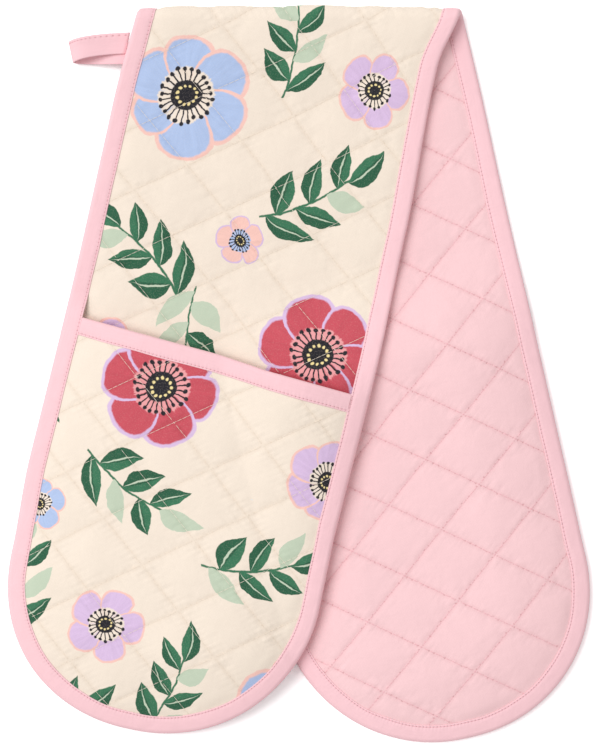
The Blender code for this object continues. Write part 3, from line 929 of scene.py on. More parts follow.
@dataclass(frozen=True)
class WovenCotton:
    """Plain-woven cotton sheeting, dyed: matt, with a faint fuzz at grazing angles."""

    name: str
    shade: str
    weave: bpy.types.NodeTree
    marks: bpy.types.NodeTree
    roughness: float = 0.88
    fuzz: float = 0.06
    crumple: float = 0.45 * MM
    # Painted shade: holes darkens the needle holes' colour and also scales their dent; the valley strength
    # darkens the colour beside the seams.
    holes: float = 0.55
    valley_shade: float = 0.14
    hole_depth: float = 0.28 * MM

    def make(self) -> bpy.types.Material:
        """The material."""
        material, tree, shader = start_material(self.name, self.shade)
        add = partial(node, tree)
        cloth = add("UVMap", uv_map="cloth")
        self.dress(tree, shader, cloth, linear(self.shade))
        return material

    def dress(self, tree: bpy.types.NodeTree, shader: bpy.types.Node, cloth: Any, colour: Any) -> None:
        """Gives the shader the cloth's thread, sheen and colour, with shade painted beside the seams and in
        the needle holes.

        Args:
            tree: The material's tree.
            shader: Its shader.
            cloth: The cloth coordinates.
            colour: The dye, a value or a node.
        """
        add = partial(node, tree)
        weave = add("Group", cloth, node_tree=self.weave)
        strip = add("UVMap", uv_map="strip")
        marks = add("Group", strip, node_tree=self.marks)
        shaded = add("VectorMath SCALE", colour, Scale=weave.outputs["Shade"])
        # Painted shade: the colour is pulled towards a deeper tone of itself in the needle holes and beside
        # the seams.
        deep = add("VectorMath MULTIPLY", shaded, shaded)
        deep = add("VectorMath SCALE", deep, Scale=0.76)
        hole = add("MULTIPLY", marks.outputs["Hole"], self.holes)
        painted_shade_mask = add("MULTIPLY", marks.outputs["Valley"], self.valley_shade)
        painted_shade_mask = add("MULTIPLY_ADD", hole, 1.0, painted_shade_mask)
        sewn = add("Mix VECTOR", painted_shade_mask, shaded, deep)
        thread = add("MULTIPLY", weave.outputs["Height"], 0.05 * MM)
        soft = add("TexNoise", cloth, Scale=85.0, Detail=2.5, Roughness=0.55, Distortion=0.6)
        height = add("MULTIPLY_ADD", soft, self.crumple, thread)
        height = add("ADD", height, marks.outputs["Height"])
        height = add("MULTIPLY_ADD", hole, -self.hole_depth, height)
        bump = add("Bump", Strength=1.0, Distance=1.0, Height=height)
        feed(tree, shader, Base_Color=sewn, Normal=bump, Roughness=self.roughness)
        feed(tree, shader, Specular_IOR_Level=0.25, Sheen_Weight=self.fuzz, Sheen_Roughness=0.5)


@dataclass(frozen=True)
class CottonTape:
    """Folded cotton tape: matt, with fine ribs along it, gathered where it is stitched, with shade painted in
    its needle holes.

    Its ribs are some 0.5 mm apart. They are drawn 0.9 mm apart so that they show.
    """

    seams: tuple[float, ...]
    pitch: float
    name: str = "bias_cotton_tape"
    shade: str = "#FBCDD3"
    rib: float = 0.9 * MM
    hole: float = 0.42 * MM

    def make(self) -> bpy.types.Material:
        """The material."""
        material, tree, shader = start_material(self.name, self.shade)
        add = partial(node, tree)
        cloth = add("UVMap", uv_map="cloth")
        ribs = add("Mapping", cloth, Scale=(1 / (9 * MM), 1 / self.rib, 1))
        rib = add("TexNoise", ribs, Scale=1.0, Detail=2.0, Roughness=0.5)
        broad = add("TexNoise", cloth, Scale=90.0, Detail=3.0, Roughness=0.6, Distortion=0.5)
        mixed = add("MULTIPLY", broad, 0.07)
        mixed = add("MULTIPLY_ADD", rib, 0.06, mixed)
        shade = add("ADD", mixed, 0.935)
        shaded = add("VectorMath SCALE", linear(self.shade), Scale=shade)
        # Painted shade: the tape's colour is darkened towards a deeper tone in its needle holes.
        deep = add("VectorMath MULTIPLY", shaded, shaded)
        deep = add("VectorMath SCALE", deep, Scale=0.75)
        pits, drawn = self.needle_marks(add, cloth)
        painted_shade_mask = add("MULTIPLY", pits, 0.8)
        sewn = add("Mix VECTOR", painted_shade_mask, shaded, deep)
        height = add("MULTIPLY", rib, 0.05 * MM)
        height = add("MULTIPLY_ADD", broad, 0.45 * MM, height)
        height = add("MULTIPLY_ADD", drawn, 0.30 * MM, height)
        height = add("MULTIPLY_ADD", pits, -0.2 * MM, height)
        bump = add("Bump", Strength=1.0, Distance=1.0, Height=height)
        feed(tree, shader, Base_Color=sewn, Normal=bump, Roughness=0.8)
        feed(tree, shader, Specular_IOR_Level=0.3, Sheen_Weight=0.06, Sheen_Roughness=0.5)
        return material

    def needle_marks(self, add: Add, cloth: Any) -> tuple[Any, Any]:
        """The needle holes along the tape's stitching, and the gathers beside it.

        Args:
            add: Adds a node to the material.
            cloth: The tape's coordinates, along and across.

        Returns:
            A mask of the holes, which dents them and paints shade in them, and the height of the gathers.
        """
        parts = add("SeparateXYZ", cloth)
        step = add("MULTIPLY", parts.outputs[0], 1 / self.pitch)
        wave = add("MULTIPLY", step, 2 * math.pi)
        wave = add("COSINE", wave)
        uneven = add("TexNoise", cloth, Scale=230.0, Detail=1.0)
        wave = add("MULTIPLY_ADD", wave, -0.12, uneven)
        round_off = add("ROUND", step)
        step = add("SUBTRACT", step, round_off)
        step = add("MULTIPLY", step, self.pitch)
        pits: Any = 0.0
        drawn: Any = 0.0
        for seam in self.seams:
            aside = add("SUBTRACT", parts.outputs[1], seam)
            away = add("ABSOLUTE", aside)
            near = add("MapRange", away, 4 * MM, 0.3 * MM, interpolation_type="SMOOTHSTEP")
            drawn = add("MAXIMUM", near, drawn)
            spot = add("VectorMath LENGTH", add("CombineXYZ", aside, step))
            pit = add("MapRange", spot.outputs["Value"], self.hole, self.hole / 3)
            pits = add("MAXIMUM", pit, pits)
        return pits, add("MULTIPLY", drawn, wave)


@dataclass(frozen=True)
class NeedledWadding:
    """Needled polyester wadding: white, soft, with loose fibres in all directions."""

    name: str = "polyester_wadding"
    shade: str = "#F1F0EC"

    def make(self) -> bpy.types.Material:
        """The material."""
        material, tree, shader = start_material(self.name, self.shade)
        add = partial(node, tree)
        cloth = add("UVMap", uv_map="cloth")
        fibres = add("TexNoise", Scale=900.0, Detail=4.0, Roughness=0.7, Distortion=1.5, Vector=cloth)
        shade = add("MULTIPLY_ADD", fibres, 0.2, 0.86)
        shaded = add("VectorMath SCALE", linear(self.shade), Scale=shade)
        bump = add("Bump", Strength=0.8, Distance=0.4 * MM, Height=fibres)
        feed(tree, shader, Base_Color=shaded, Normal=bump, Roughness=0.95, Sheen_Weight=0.3)
        return material


@dataclass(frozen=True)
class SewingThread:
    """Spun polyester sewing thread, 0.4 mm thick: a soft gloss along its twist."""

    name: str
    shade: str

    def make(self) -> bpy.types.Material:
        """The material."""
        material, tree, shader = start_material(self.name, self.shade)
        add = partial(node, tree)
        place = add("TexCoord")
        fleck = add("TexNoise", Scale=700.0, Detail=1.0, Vector=place.outputs["Object"])
        shade = add("MULTIPLY_ADD", fleck, 0.2, 0.88)
        shaded = add("VectorMath SCALE", linear(self.shade), Scale=shade)
        feed(tree, shader, Base_Color=shaded, Roughness=0.55, Specular_IOR_Level=0.4)
        return material


class Ink(Enum):
    """The print's colours."""

    CREAM = "#F5E6D6"
    LEAF = "#3A7556"
    LEAF_SHADE = "#2B5F45"
    SAGE = "#C6D3BC"
    SKY = "#B3C6EA"
    LILAC = "#DDC1E4"
    PEACH = "#FACABF"
    ROSE = "#CC5461"
    BLUSH = "#F0A5A7"
    BLACK = "#24232A"
    LEMON = "#F6E2A2"

    def dye(self) -> tuple[float, float, float]:
        """The ink as a linear colour."""
        return linear(self.value)[:3]


class Bloom(Enum):
    """The print's kinds of flower: inks of petal, rim and throat, in a fixed order."""

    SKY = (Ink.SKY, Ink.PEACH, Ink.CREAM)
    ROSE = (Ink.ROSE, Ink.LILAC, Ink.BLUSH)
    LILAC = (Ink.LILAC, Ink.PEACH, Ink.CREAM)
    PEACH = (Ink.PEACH, Ink.LILAC, Ink.SKY)


@dataclass(frozen=True)
class Motif:
    """One flower or twig of the print: its place in the repeat, turn, reach and traits."""

    across: float
    along: float
    turn: float
    reach: float
    traits: tuple[float, float]


def blossom(across: float, along: float, turn: float, reach: float, bloom: Bloom, petals: int) -> Motif:
    """A flower, in millimetres and degrees."""
    return Motif(across, along, turn, reach, (float(list(Bloom).index(bloom)), float(petals)))


def twig(across: float, along: float, turn: float, reach: float, seed: int) -> Motif:
    """A leafy twig, in millimetres and degrees; its seed picks its pale leaves."""
    return Motif(across, along, turn, reach, (float(seed), 0.0))


@dataclass(frozen=True)
class FlowerPrint:
    """A generic print of wind-flowers and leafy twigs, brushed in flat inks.

    Only the flower and the twig that lie nearest to a point are drawn there, so that the
    print may have many of them.
    """

    repeat_across: float = 230 * MM
    repeat_along: float = 300 * MM
    broad_waver: float = 5.0 * MM
    fine_waver: float = 1.3 * MM
    grain: float = 0.10
    petal_rim: float = 0.10
    heart: float = 0.25
    blossoms: tuple[Motif, ...] = (
        blossom(-52, 66, 10, 37, Bloom.SKY, 6),
        blossom(58, 196, 25, 36, Bloom.ROSE, 6),
        blossom(58, 38, 40, 23, Bloom.LILAC, 5),
        blossom(-64, 226, 0, 24, Bloom.LILAC, 6),
        blossom(-2, 142, 0, 15, Bloom.PEACH, 5),
        blossom(98, 122, 15, 14, Bloom.PEACH, 6),
        blossom(4, 278, 60, 15, Bloom.SKY, 5),
    )
    twigs: tuple[Motif, ...] = (
        twig(44, 102, 40, 42, 1),
        twig(2, 14, 100, 38, 2),
        twig(-62, 156, 150, 42, 3),
        twig(-18, 214, -75, 38, 4),
        twig(-84, 284, 20, 40, 6),
        twig(62, 262, -20, 40, 7),
        twig(106, 60, 80, 36, 5),
    )

    def group(self) -> bpy.types.NodeTree:
        """The group that turns cloth coordinates to the print's colour."""
        tree, given, out = new_group("flower_print", {"Cloth": "Vector"}, {"Colour": "Vector"})
        add = partial(node, tree)
        brushed = given.outputs["Cloth"]
        for scale, waver in ((45.0, self.broad_waver), (330.0, self.fine_waver)):
            noise = add("TexNoise", given.outputs["Cloth"], Scale=scale, Detail=2.0)
            noise = add("VectorMath SUBTRACT", noise.outputs["Color"], (0.5, 0.5, 0.5))
            noise = add("VectorMath SCALE", noise, Scale=waver)
            brushed = add("VectorMath ADD", noise, brushed)
        place, traits = self.nearest(add, brushed, self.twigs)
        inked = self.twig(add, place, traits, Ink.CREAM.dye())
        place, traits = self.nearest(add, brushed, self.blossoms)
        inked = self.blossom(add, place, traits, inked)
        grain = add("TexNoise", given.outputs["Cloth"], Scale=1300.0, Detail=1.0)
        grain = add("MapRange", grain, 0.5, 0.8, 0.0, self.grain)
        inked = add("Mix VECTOR", grain, inked, Ink.CREAM.dye())
        feed(tree, out, Colour=inked)
        return tree

    def nearest(self, add: Add, cloth: Any, motifs: Sequence[Motif]) -> tuple[Any, Any]:
        """Finds the motif that each point of the cloth lies nearest to.

        Args:
            add: Adds a node to the print's group.
            cloth: The cloth coordinates.
            motifs: The motifs of one repeat.

        Returns:
            The point's place in its motif, whose reach is 1, and the motif's two traits.
        """
        half = (self.repeat_across / 2, self.repeat_along / 2, 1.0)
        low = tuple(-size for size in half)
        place: Any = (0.0, 0.0, 0.0)
        traits: Any = (0.0, 0.0, 0.0)
        best: Any = 1000.0
        for motif in motifs:
            middle = (motif.across * MM, motif.along * MM, 0.0)
            moved = add("VectorMath SUBTRACT", cloth, middle)
            moved = add("VectorMath WRAP", moved, half, low)
            moved = add("VectorMath SCALE", moved, Scale=1 / (motif.reach * MM))
            away = add("VectorMath LENGTH", moved).outputs["Value"]
            near = add("LESS_THAN", away, best)
            best = add("MINIMUM", away, best)
            place = add("Mix VECTOR", near, place, moved)
            given = (*motif.traits, math.radians(motif.turn))
            traits = add("Mix VECTOR", near, traits, given)
        traits = add("SeparateXYZ", traits)
        place = add("VectorRotate", place, rotation_type="Z_AXIS", Angle=traits.outputs[2])
        return place, traits

    def leaf(self, add: Add, along: Any, aside: Any) -> tuple[Any, Any]:
        """One pointed leaf from 0 to 1: its mask, and its midrib's."""
        t = add("Math", along, 0.0, use_clamp=True)
        rest = add("SUBTRACT", 1.0, t)
        arch = add("MULTIPLY", t, rest)
        aside = add("MULTIPLY_ADD", arch, -0.22, aside)
        bowed = add("POWER", t, 0.8)
        bowed = add("MULTIPLY", bowed, math.pi)
        bowed = add("SINE", bowed)
        away = add("ABSOLUTE", aside)
        wide = add("MULTIPLY", bowed, 0.235)
        inside = add("SUBTRACT", wide, away)
        mask = add("MapRange", inside, 0.0, 0.015)
        thin = add("MULTIPLY", bowed, 0.022)
        thin = add("SUBTRACT", thin, away)
        rib = add("MapRange", thin, 0.0, 0.008)
        return mask, rib

    def twig(self, add: Add, place: Any, traits: Any, ground: Any) -> Any:
        """Draws a stem with leaves in pairs and one at its tip.

        Args:
            add: Adds a node to the print's group.
            place: Places in the twig: its stem runs from -1 to 0.35 of the first number.
            traits: The twig's seed and an unused number.
            ground: The colour under it.

        Returns:
            The colour with the twig on it.
        """
        slant, spacing, first = math.radians(46), 0.46, -0.78
        parts = add("SeparateXYZ", place)
        bow = add("MULTIPLY", parts.outputs[0], parts.outputs[0])
        aside = add("MULTIPLY_ADD", bow, 0.16, parts.outputs[1])
        side = add("GREATER_THAN", aside, 0.0)
        off = add("ABSOLUTE", aside)
        run = add("MULTIPLY_ADD", side, 0.17, parts.outputs[0])
        foot = add("MULTIPLY_ADD", off, -1 / math.tan(slant), run)
        foot = add("ADD", foot, -first)
        foot = add("MULTIPLY", foot, 1 / spacing)
        foot = add("ROUND", foot)
        foot = add("MINIMUM", foot, 2.0)
        foot = add("MAXIMUM", foot, 0.0)
        run = add("MULTIPLY_ADD", foot, -spacing, run)
        run = add("ADD", run, -first)
        size = add("MULTIPLY_ADD", foot, -0.05, 0.70)
        cos, sin = math.cos(slant), math.sin(slant)
        reach = add("MULTIPLY", off, sin)
        reach = add("MULTIPLY_ADD", run, cos, reach)
        wide = add("MULTIPLY", off, cos)
        wide = add("MULTIPLY_ADD", run, -sin, wide)
        reach = add("DIVIDE", reach, size)
        wide = add("DIVIDE", wide, size)
        tip = add("ADD", parts.outputs[0], -0.30)
        tip = add("MULTIPLY", tip, 1 / 0.7)
        over = add("ADD", aside, -0.015)
        over = add("MULTIPLY", over, 1 / 0.7)
        stem = add("MapRange", off, 0.022, 0.010)
        shown = add("LESS_THAN", parts.outputs[0], 0.35)
        stem = add("MULTIPLY", stem, shown)
        start = add("GREATER_THAN", parts.outputs[0], -1.05)
        stem = add("MULTIPLY", stem, start)
        inked = add("Mix VECTOR", stem, ground, Ink.LEAF.dye())
        brush = add("TexNoise", place, Scale=6.0, Detail=3.0, Roughness=0.6)
        tone = add("MULTIPLY_ADD", brush, 0.5, 0.76)
        number = add("MULTIPLY_ADD", side, 3.7, foot)
        for along, across, count in ((reach, wide, number), (tip, over, 8.0)):
            mask, rib = self.leaf(add, along, across)
            which = add("CombineXYZ", count, traits.outputs[0])
            odd = add("TexWhiteNoise", which, noise_dimensions="2D")
            pale = add("GREATER_THAN", odd, 0.66)
            half = add("GREATER_THAN", across, 0.0)
            ink = add("Mix VECTOR", half, Ink.LEAF.dye(), Ink.LEAF_SHADE.dye())
            ink = add("VectorMath SCALE", ink, Scale=tone)
            ink = add("Mix VECTOR", rib, ink, Ink.SAGE.dye())
            ink = add("Mix VECTOR", pale, ink, Ink.SAGE.dye())
            inked = add("Mix VECTOR", mask, inked, ink)
        return inked

    def petal(self, add: Add, away: Any, bearing: Any, odd: Any) -> Any:
        """How deep a point lies inside one petal, in shares of the petal's breadth."""
        x = add("COSINE", bearing)
        x = add("MULTIPLY", x, away)
        y = add("SINE", bearing)
        y = add("MULTIPLY", y, away)
        breadth = add("MULTIPLY_ADD", odd, 0.10, 0.16)
        breadth = add("MULTIPLY_ADD", x, 0.36, breadth)
        y = add("DIVIDE", y, breadth)
        length = add("MULTIPLY_ADD", odd, 0.06, 0.46)
        x = add("SUBTRACT", x, length)
        x = add("DIVIDE", x, length)
        gap = add("VectorMath LENGTH", add("CombineXYZ", x, y))
        return add("SUBTRACT", 1.0, gap.outputs["Value"])

    def blossom(self, add: Add, place: Any, traits: Any, ground: Any) -> Any:
        """Draws a flower: a ring of petals, each over the next, and its heart.

        Args:
            add: Adds a node to the print's group.
            place: Places in the flower, whose petals reach to 1.
            traits: The number of its kind, and of its petals.
            ground: The colour under it.

        Returns:
            The colour with the flower on it.
        """
        kind, count = traits.outputs[0], traits.outputs[1]
        petal_ink, rim_ink, throat_ink = (self.choose(add, kind, k) for k in range(3))
        away = add("VectorMath LENGTH", place).outputs["Value"]
        parts = add("SeparateXYZ", place)
        angle = add("ARCTAN2", parts.outputs[1], parts.outputs[0])
        share = add("MULTIPLY", count, 1 / (2 * math.pi))
        turns = add("MULTIPLY", angle, share)
        whole = add("FLOOR", turns)
        part = add("SUBTRACT", turns, whole)
        streaks = add("MULTIPLY", angle, 9.0)
        streaks = add("CombineXYZ", streaks, away, kind)
        streaks = add("TexNoise", streaks, Scale=1.0, Detail=3.0, Roughness=0.65)
        tone = add("MULTIPLY_ADD", streaks, 0.24, 0.88)
        petal_ink = add("VectorMath SCALE", petal_ink, Scale=tone)
        inked = ground
        for step in (-1, 0, 1):
            number = add("ADD", whole, float(step))
            number = add("FLOORED_MODULO", number, count)
            number = add("CombineXYZ", number, kind)
            odd = add("TexWhiteNoise", number, noise_dimensions="2D")
            bearing = add("SUBTRACT", part, 0.5 + step)
            bearing = add("DIVIDE", bearing, share)
            inside = self.petal(add, away, bearing, odd)
            mask = add("MapRange", inside, 0.0, 0.03)
            full = add("MapRange", inside, self.petal_rim, self.petal_rim + 0.05)
            ink = add("Mix VECTOR", full, rim_ink, petal_ink)
            inked = add("Mix VECTOR", mask, inked, ink)
        throat = add("MapRange", away, 0.53, 0.41)
        throat = add("MULTIPLY", throat, streaks)
        throat = add("MapRange", throat, 0.30, 0.42)
        inked = add("Mix VECTOR", throat, inked, throat_ink)
        for mask, ink in self.heart_masks(add, away, turns):
            inked = add("Mix VECTOR", mask, inked, ink.dye())
        return inked

    def choose(self, add: Add, kind: Any, which: int) -> Any:
        """The petal's, the rim's or the throat's ink of a kind of flower."""
        blooms = list(Bloom)
        ink: Any = blooms[0].value[which].dye()
        for number, bloom in enumerate(blooms[1:], 1):
            past = add("GREATER_THAN", kind, number - 0.5)
            ink = add("Mix VECTOR", past, ink, bloom.value[which].dye())
        return ink

    def heart_masks(self, add: Add, away: Any, turns: Any) -> list[tuple[Any, Ink]]:
        """The flower's round black heart, its ring of stamens and its pale dots.

        Args:
            add: Adds a node to the print's group.
            away: Distance from the middle.
            turns: Number of petals passed, going round.

        Returns:
            Masks with their inks, in the order that they are printed.
        """
        masks = []
        for per_petal, ring, size, spread, ink in (
            (4.0, 0.41, 0.036, 0.085, Ink.BLACK),
            (2.0, 0.15, 0.024, 0.0, Ink.LEMON),
        ):
            spoke = add("MULTIPLY", turns, per_petal)
            number = add("FLOOR", spoke)
            odd = add("TexWhiteNoise", number, noise_dimensions="1D")
            spoke = add("SUBTRACT", spoke, number)
            spoke = add("SUBTRACT", spoke, 0.5)
            spoke = add("MULTIPLY", spoke, 1.05 / per_petal)
            spoke = add("MULTIPLY", spoke, away)
            reach = add("MULTIPLY_ADD", odd, spread, ring - spread / 2)
            past = add("SUBTRACT", away, reach)
            spot = add("VectorMath LENGTH", add("CombineXYZ", spoke, past))
            dot = add("MapRange", spot.outputs["Value"], size + 0.006, size - 0.006)
            if spread:
                line = add("ABSOLUTE", spoke)
                line = add("MapRange", line, 0.016, 0.008)
                within = add("LESS_THAN", past, 0.0)
                line = add("MULTIPLY", line, within)
                dot = add("MAXIMUM", dot, line)
                disc = add("MapRange", away, self.heart, self.heart - 0.015)
                dot = add("MAXIMUM", dot, disc)
            masks.append((dot, ink))
        return masks


@dataclass(frozen=True)
class PrintedCotton(WovenCotton):
    """Plain-woven cotton printed with flat inks: the ink dulls the thread a little."""

    drawing: FlowerPrint = FlowerPrint()

    def make(self) -> bpy.types.Material:
        """The material."""
        material, tree, shader = start_material(self.name, self.shade)
        add = partial(node, tree)
        cloth = add("UVMap", uv_map="cloth")
        inked = add("Group", cloth, node_tree=self.drawing.group())
        self.dress(tree, shader, cloth, inked)
        return material


@dataclass(frozen=True)
class Finishes:
    """The materials of all pieces."""

    printed: bpy.types.Material
    plain: bpy.types.Material
    tape: bpy.types.Material
    wadding: bpy.types.Material
    cream_thread: bpy.types.Material
    pink_thread: bpy.types.Material

    @classmethod
    def make(cls, quilting: Quilting, tape: FoldedTape) -> Finishes:
        """Makes them all."""
        weave, marks = PlainWeave().group(), SeamMarks(quilting).group()
        # Painted shade in the needle holes and beside the seams is kept faint on the printed face.
        face = PrintedCotton(
            "printed_plain_weave_cotton", Ink.CREAM.value, weave, marks, holes=0.12, valley_shade=0.12
        )
        return cls(
            printed=face.make(),
            plain=WovenCotton("pink_plain_weave_cotton", "#FAD0D3", weave, marks).make(),
            tape=CottonTape(tape.seams(), tape.stitch_pitch).make(),
            wadding=NeedledWadding().make(),
            cream_thread=SewingThread("cream_polyester_thread", "#F3E6D6").make(),
            pink_thread=SewingThread("pink_polyester_thread", "#F0B6BF").make(),
        )

    def cloth(self, layer: Layer) -> tuple[str, bpy.types.Material]:
        """The record's slot and the material of a layer of the quilt."""
        return {
            Layer.LINING: ("pink_cotton", self.plain),
            Layer.WADDING: ("wadding", self.wadding),
            Layer.FACE: ("printed_cotton", self.printed),
        }[layer]

    def thread(self, layer: Layer) -> bpy.types.Material:
        """The thread that shows on a layer."""
        return self.cream_thread if layer is Layer.FACE else self.pink_thread


@dataclass
class Stations:
    """Places along a taped edge, at the tape's inner side, and the way out from each."""

    u: Array
    s: Array
    out_u: Array
    out_s: Array
    along: Array

    def at(self, inside: Array, hem: float) -> tuple[Array, Array]:
        """Strip points at distances inside the edge, one row for each station."""
        out = hem - inside
        return (
            self.u[:, None] + out * self.out_u[:, None],
            self.s[:, None] + out * self.out_s[:, None],
        )


@dataclass(frozen=True)
class FoldedTape:
    """Tape folded over a quilted edge, stitched through near its inner sides."""

    lay: GloveLay
    width: float = 10.8 * MM
    thickness: float = 1.0 * MM
    gap: float = 0.3 * MM
    nose: float = 2.4 * MM
    nose_steps: int = 8
    stitch_inset: float = 1.1 * MM
    stitch_pitch: float = 2.3 * MM
    ripple: float = 0.22 * MM
    ripple_length: float = 3.6 * MM

    def section(self) -> tuple[Array, Array, Array]:
        """The section's outline: distance inside the edge, side from -1 to 1, height."""
        w = self.width
        skin = (
            (0, 0.12), (0.05, 0.36), (0.25, 0.54), (0.7, 0.58), (1.1, 0.48), (1.5, 0.60),
            (2.2, 0.84), (3.4, 1.08), (5.0, 1.24), (6.8, 1.27),
        )
        half = [(w - i * MM, 1.0, t * MM) for i, t in skin] + [(self.nose + 0.3 * MM, 1.0, 1.20 * MM)]
        turns = map(math.radians, np.linspace(90, -90, self.nose_steps + 1))
        nose = [(self.nose * (1 - math.cos(a)), math.sin(a), 1.2 * MM) for a in turns]
        inner = [(w, 1.0), (w - 4 * MM, 1.0), (1.2 * MM, 1.0), (1.0 * MM, 0.0)]
        lining = [(i, side, 0.18 * MM) for i, side in inner]
        outer = half + nose + [(i, -1.0, t) for i, _, t in reversed(half)]
        rows = np.array(outer + [(i, -side, t) for i, side, t in lining] + lining[-2::-1])
        return rows[:, 0], rows[:, 1], rows[:, 2]

    def across(self) -> Array:
        """Distance across the tape of each point of its section."""
        inside, side, _ = self.section()
        span = np.hypot(np.diff(inside), np.diff(side) * 1.6 * MM)
        return np.concatenate([[0], np.cumsum(span)])

    def seams(self) -> tuple[float, float]:
        """Distances across the tape of its two lines of stitches."""
        _, side, _ = self.section()
        far = int(np.flatnonzero(side == -1.0)[-1])
        outer = next(k for k in range(far, 0, -1) if self.section()[0][k] == self.width)
        return self.stitch_inset, float(self.across()[outer]) - self.stitch_inset

    def skin(self, stations: Stations, inside: Array, side: Array, height: Array, levels: Levels) -> Array:
        """World points of the section at each station.

        Args:
            stations: The taped edge.
            inside: Distances inside the edge.
            side: -1 at the lining's side, 1 at the face's.
            height: Heights over the wrapped cloths.
            levels: Gives the levels of the wrapped cloths' two sides.

        Returns:
            Points with a row for each station.
        """
        lie = Unevenness(31)
        run = stations.along[:, None]
        wander = 0.25 * MM * lie.field(run / (17 * MM), np.zeros_like(run))
        placed = inside + wander * np.clip(inside / self.width, 0, 1)
        u, s = stations.at(placed, self.lay.hem)
        low, high = levels(u, s)
        middle, half = (low + high) / 2, (high - low) / 2
        hump = np.clip((height - 0.2 * MM) / (0.6 * MM), 0, 1)
        ruffle = self.ripple * lie.field(run / self.ripple_length, inside / (5 * MM) + side * 9)
        level = middle + side * (half + height - hump * np.abs(ruffle))
        return self.lay.place(u, s, level)

    def make(
        self, name: str, stations: Stations, levels: Levels, finish: bpy.types.Material
    ) -> bpy.types.Object:
        """Lofts the tape along its edge.

        Args:
            name: The object's name.
            stations: The taped edge.
            levels: Levels of the wrapped cloths' sides.
            finish: The material.

        Returns:
            The object.
        """
        inside, side, height = self.section()
        points = self.skin(stations, inside[None], side[None], height[None], levels)
        return loft(name, points, stations.along, self.across(), finish)

    def stitch_run(self, stations: Stations, levels: Levels, side: int) -> Array:
        """The line that the tape is stitched through, on one side."""
        inside = np.full((1, 1), self.width - self.stitch_inset)
        height = np.full((1, 1), 0.52 * MM)
        line = self.skin(stations, inside, np.full((1, 1), float(side)), height, levels)[:, 0]
        return evenly(line, self.stitch_pitch, stations.along)


def outward(made: bpy.types.Object) -> bpy.types.Object:
    """Turns a closed mesh's faces outwards."""
    bm = bmesh.new()
    bm.from_mesh(made.data)
    bmesh.ops.recalc_face_normals(bm, faces=bm.faces[:])
    bm.to_mesh(made.data)
    bm.free()
    return made


def loft(
    name: str, points: Array, run: Array, across: Array, finish: bpy.types.Material
) -> bpy.types.Object:
    """Closes rows of a section's points into a solid with both its ends.

    Args:
        name: The object's name.
        points: World points, a row for each place along the piece.
        run: Distance along it of each row.
        across: Distance across it of each point of the section.
        finish: The material.

    Returns:
        The object, its faces outwards.
    """
    rows, count = points.shape[:2]
    faces = [
        (a + k, a + count + k, a + count + (k + 1) % count, a + (k + 1) % count)
        for a in range(0, (rows - 1) * count, count)
        for k in range(count)
    ]
    faces += [tuple(range(count)), tuple(range(rows * count - 1, (rows - 1) * count - 1, -1))]
    uv = np.stack(np.broadcast_arrays(run[:, None], across[None]), axis=-1).reshape(-1, 2)
    return outward(mesh_object(name, points.reshape(-1, 3), faces, uv, finish))


def evenly(line: Array, pitch: float, run: Array) -> Array:
    """Points along a line, a pitch apart in the distances that run gives its points."""
    marks = np.arange(pitch / 2, run[-1], pitch)
    return np.stack([np.interp(marks, run, line[:, k]) for k in range(3)], axis=1)


@dataclass(frozen=True)
class StitchRow:
    """Lockstitches: a short thread spindle at each point of a line, half sunk in the cloth."""

    length: float = 3.9 * MM
    thread: float = 0.30 * MM

    def tree(self) -> bpy.types.NodeTree:
        """The Geometry Nodes tree that lays a stitch on each point, made once."""
        known = bpy.data.node_groups.get("stitch_row")
        if known:
            return known
        tree, given, out = new_group(
            "stitch_row",
            {"Line": "Geometry", "Stitch length": "Float", "Thread thickness": "Float", "Thread": "Material"},
            {"Stitches": "Geometry"},
            "GeometryNodeTree",
        )
        add = partial(node, tree)
        line = add("GeometryNodeMeshToCurve", given.outputs["Line"])
        way = add("GeometryNodeInputTangent")
        turn = add("FunctionNodeAlignRotationToVector", axis="Z", Vector=way)
        ball = add("GeometryNodeMeshUVSphere", Segments=6, Rings=4, Radius=0.5)
        thick = given.outputs["Thread thickness"]
        size = add("CombineXYZ", thick, thick, given.outputs["Stitch length"])
        sewn = add("GeometryNodeInstanceOnPoints", Points=line, Instance=ball, Rotation=turn, Scale=size)
        real = add("GeometryNodeRealizeInstances", sewn)
        soft = add("GeometryNodeSetShadeSmooth", real)
        dyed = add("GeometryNodeSetMaterial", soft, Material=given.outputs["Thread"])
        feed(tree, out, Stitches=dyed)
        return tree

    def sew(self, name: str, lines: Sequence[Array], thread: bpy.types.Material) -> bpy.types.Object:
        """Sews along lines and gives one plain mesh.

        Args:
            name: The object's name.
            lines: The middle of each stitch, a list of world points for each line.
            thread: The thread's material.

        Returns:
            The stitches.
        """
        points = np.concatenate(lines)
        edges, start = [], 0
        for line in lines:
            edges += [(start + k, start + k + 1) for k in range(len(line) - 1)]
            start += len(line)
        guide = bpy.data.meshes.new("guide")
        guide.from_pydata(points.tolist(), edges, [])
        holder = placed("guide", guide)
        modifier = holder.modifiers.new("stitches", "NODES")
        modifier.node_group = self.tree()
        values = {"Stitch length": self.length, "Thread thickness": self.thread, "Thread": thread}
        for item in modifier.node_group.interface.items_tree:
            if item.item_type == "SOCKET" and item.in_out == "INPUT" and item.name in values:
                modifier[item.identifier] = values[item.name]
        holder.update_tag()
        bpy.context.view_layer.update()
        seen = holder.evaluated_get(bpy.context.evaluated_depsgraph_get())
        mesh = bpy.data.meshes.new_from_object(seen)
        holder.modifiers.remove(modifier)
        bpy.data.objects.remove(holder)
        mesh.name = name
        return placed(name, mesh)


TAPE_STITCHES = StitchRow(length=1.6 * MM, thread=0.34 * MM)
SEAM_STITCHES = {Layer.FACE: StitchRow(), Layer.LINING: StitchRow(length=2.3 * MM, thread=0.28 * MM)}


def stitch_level(layer: Layer, low: Array, high: Array) -> Array:
    """Level of the stitches on a layer, from the levels of its two surfaces."""
    return high + STITCH_LIFT if layer is Layer.FACE else low - STITCH_LIFT


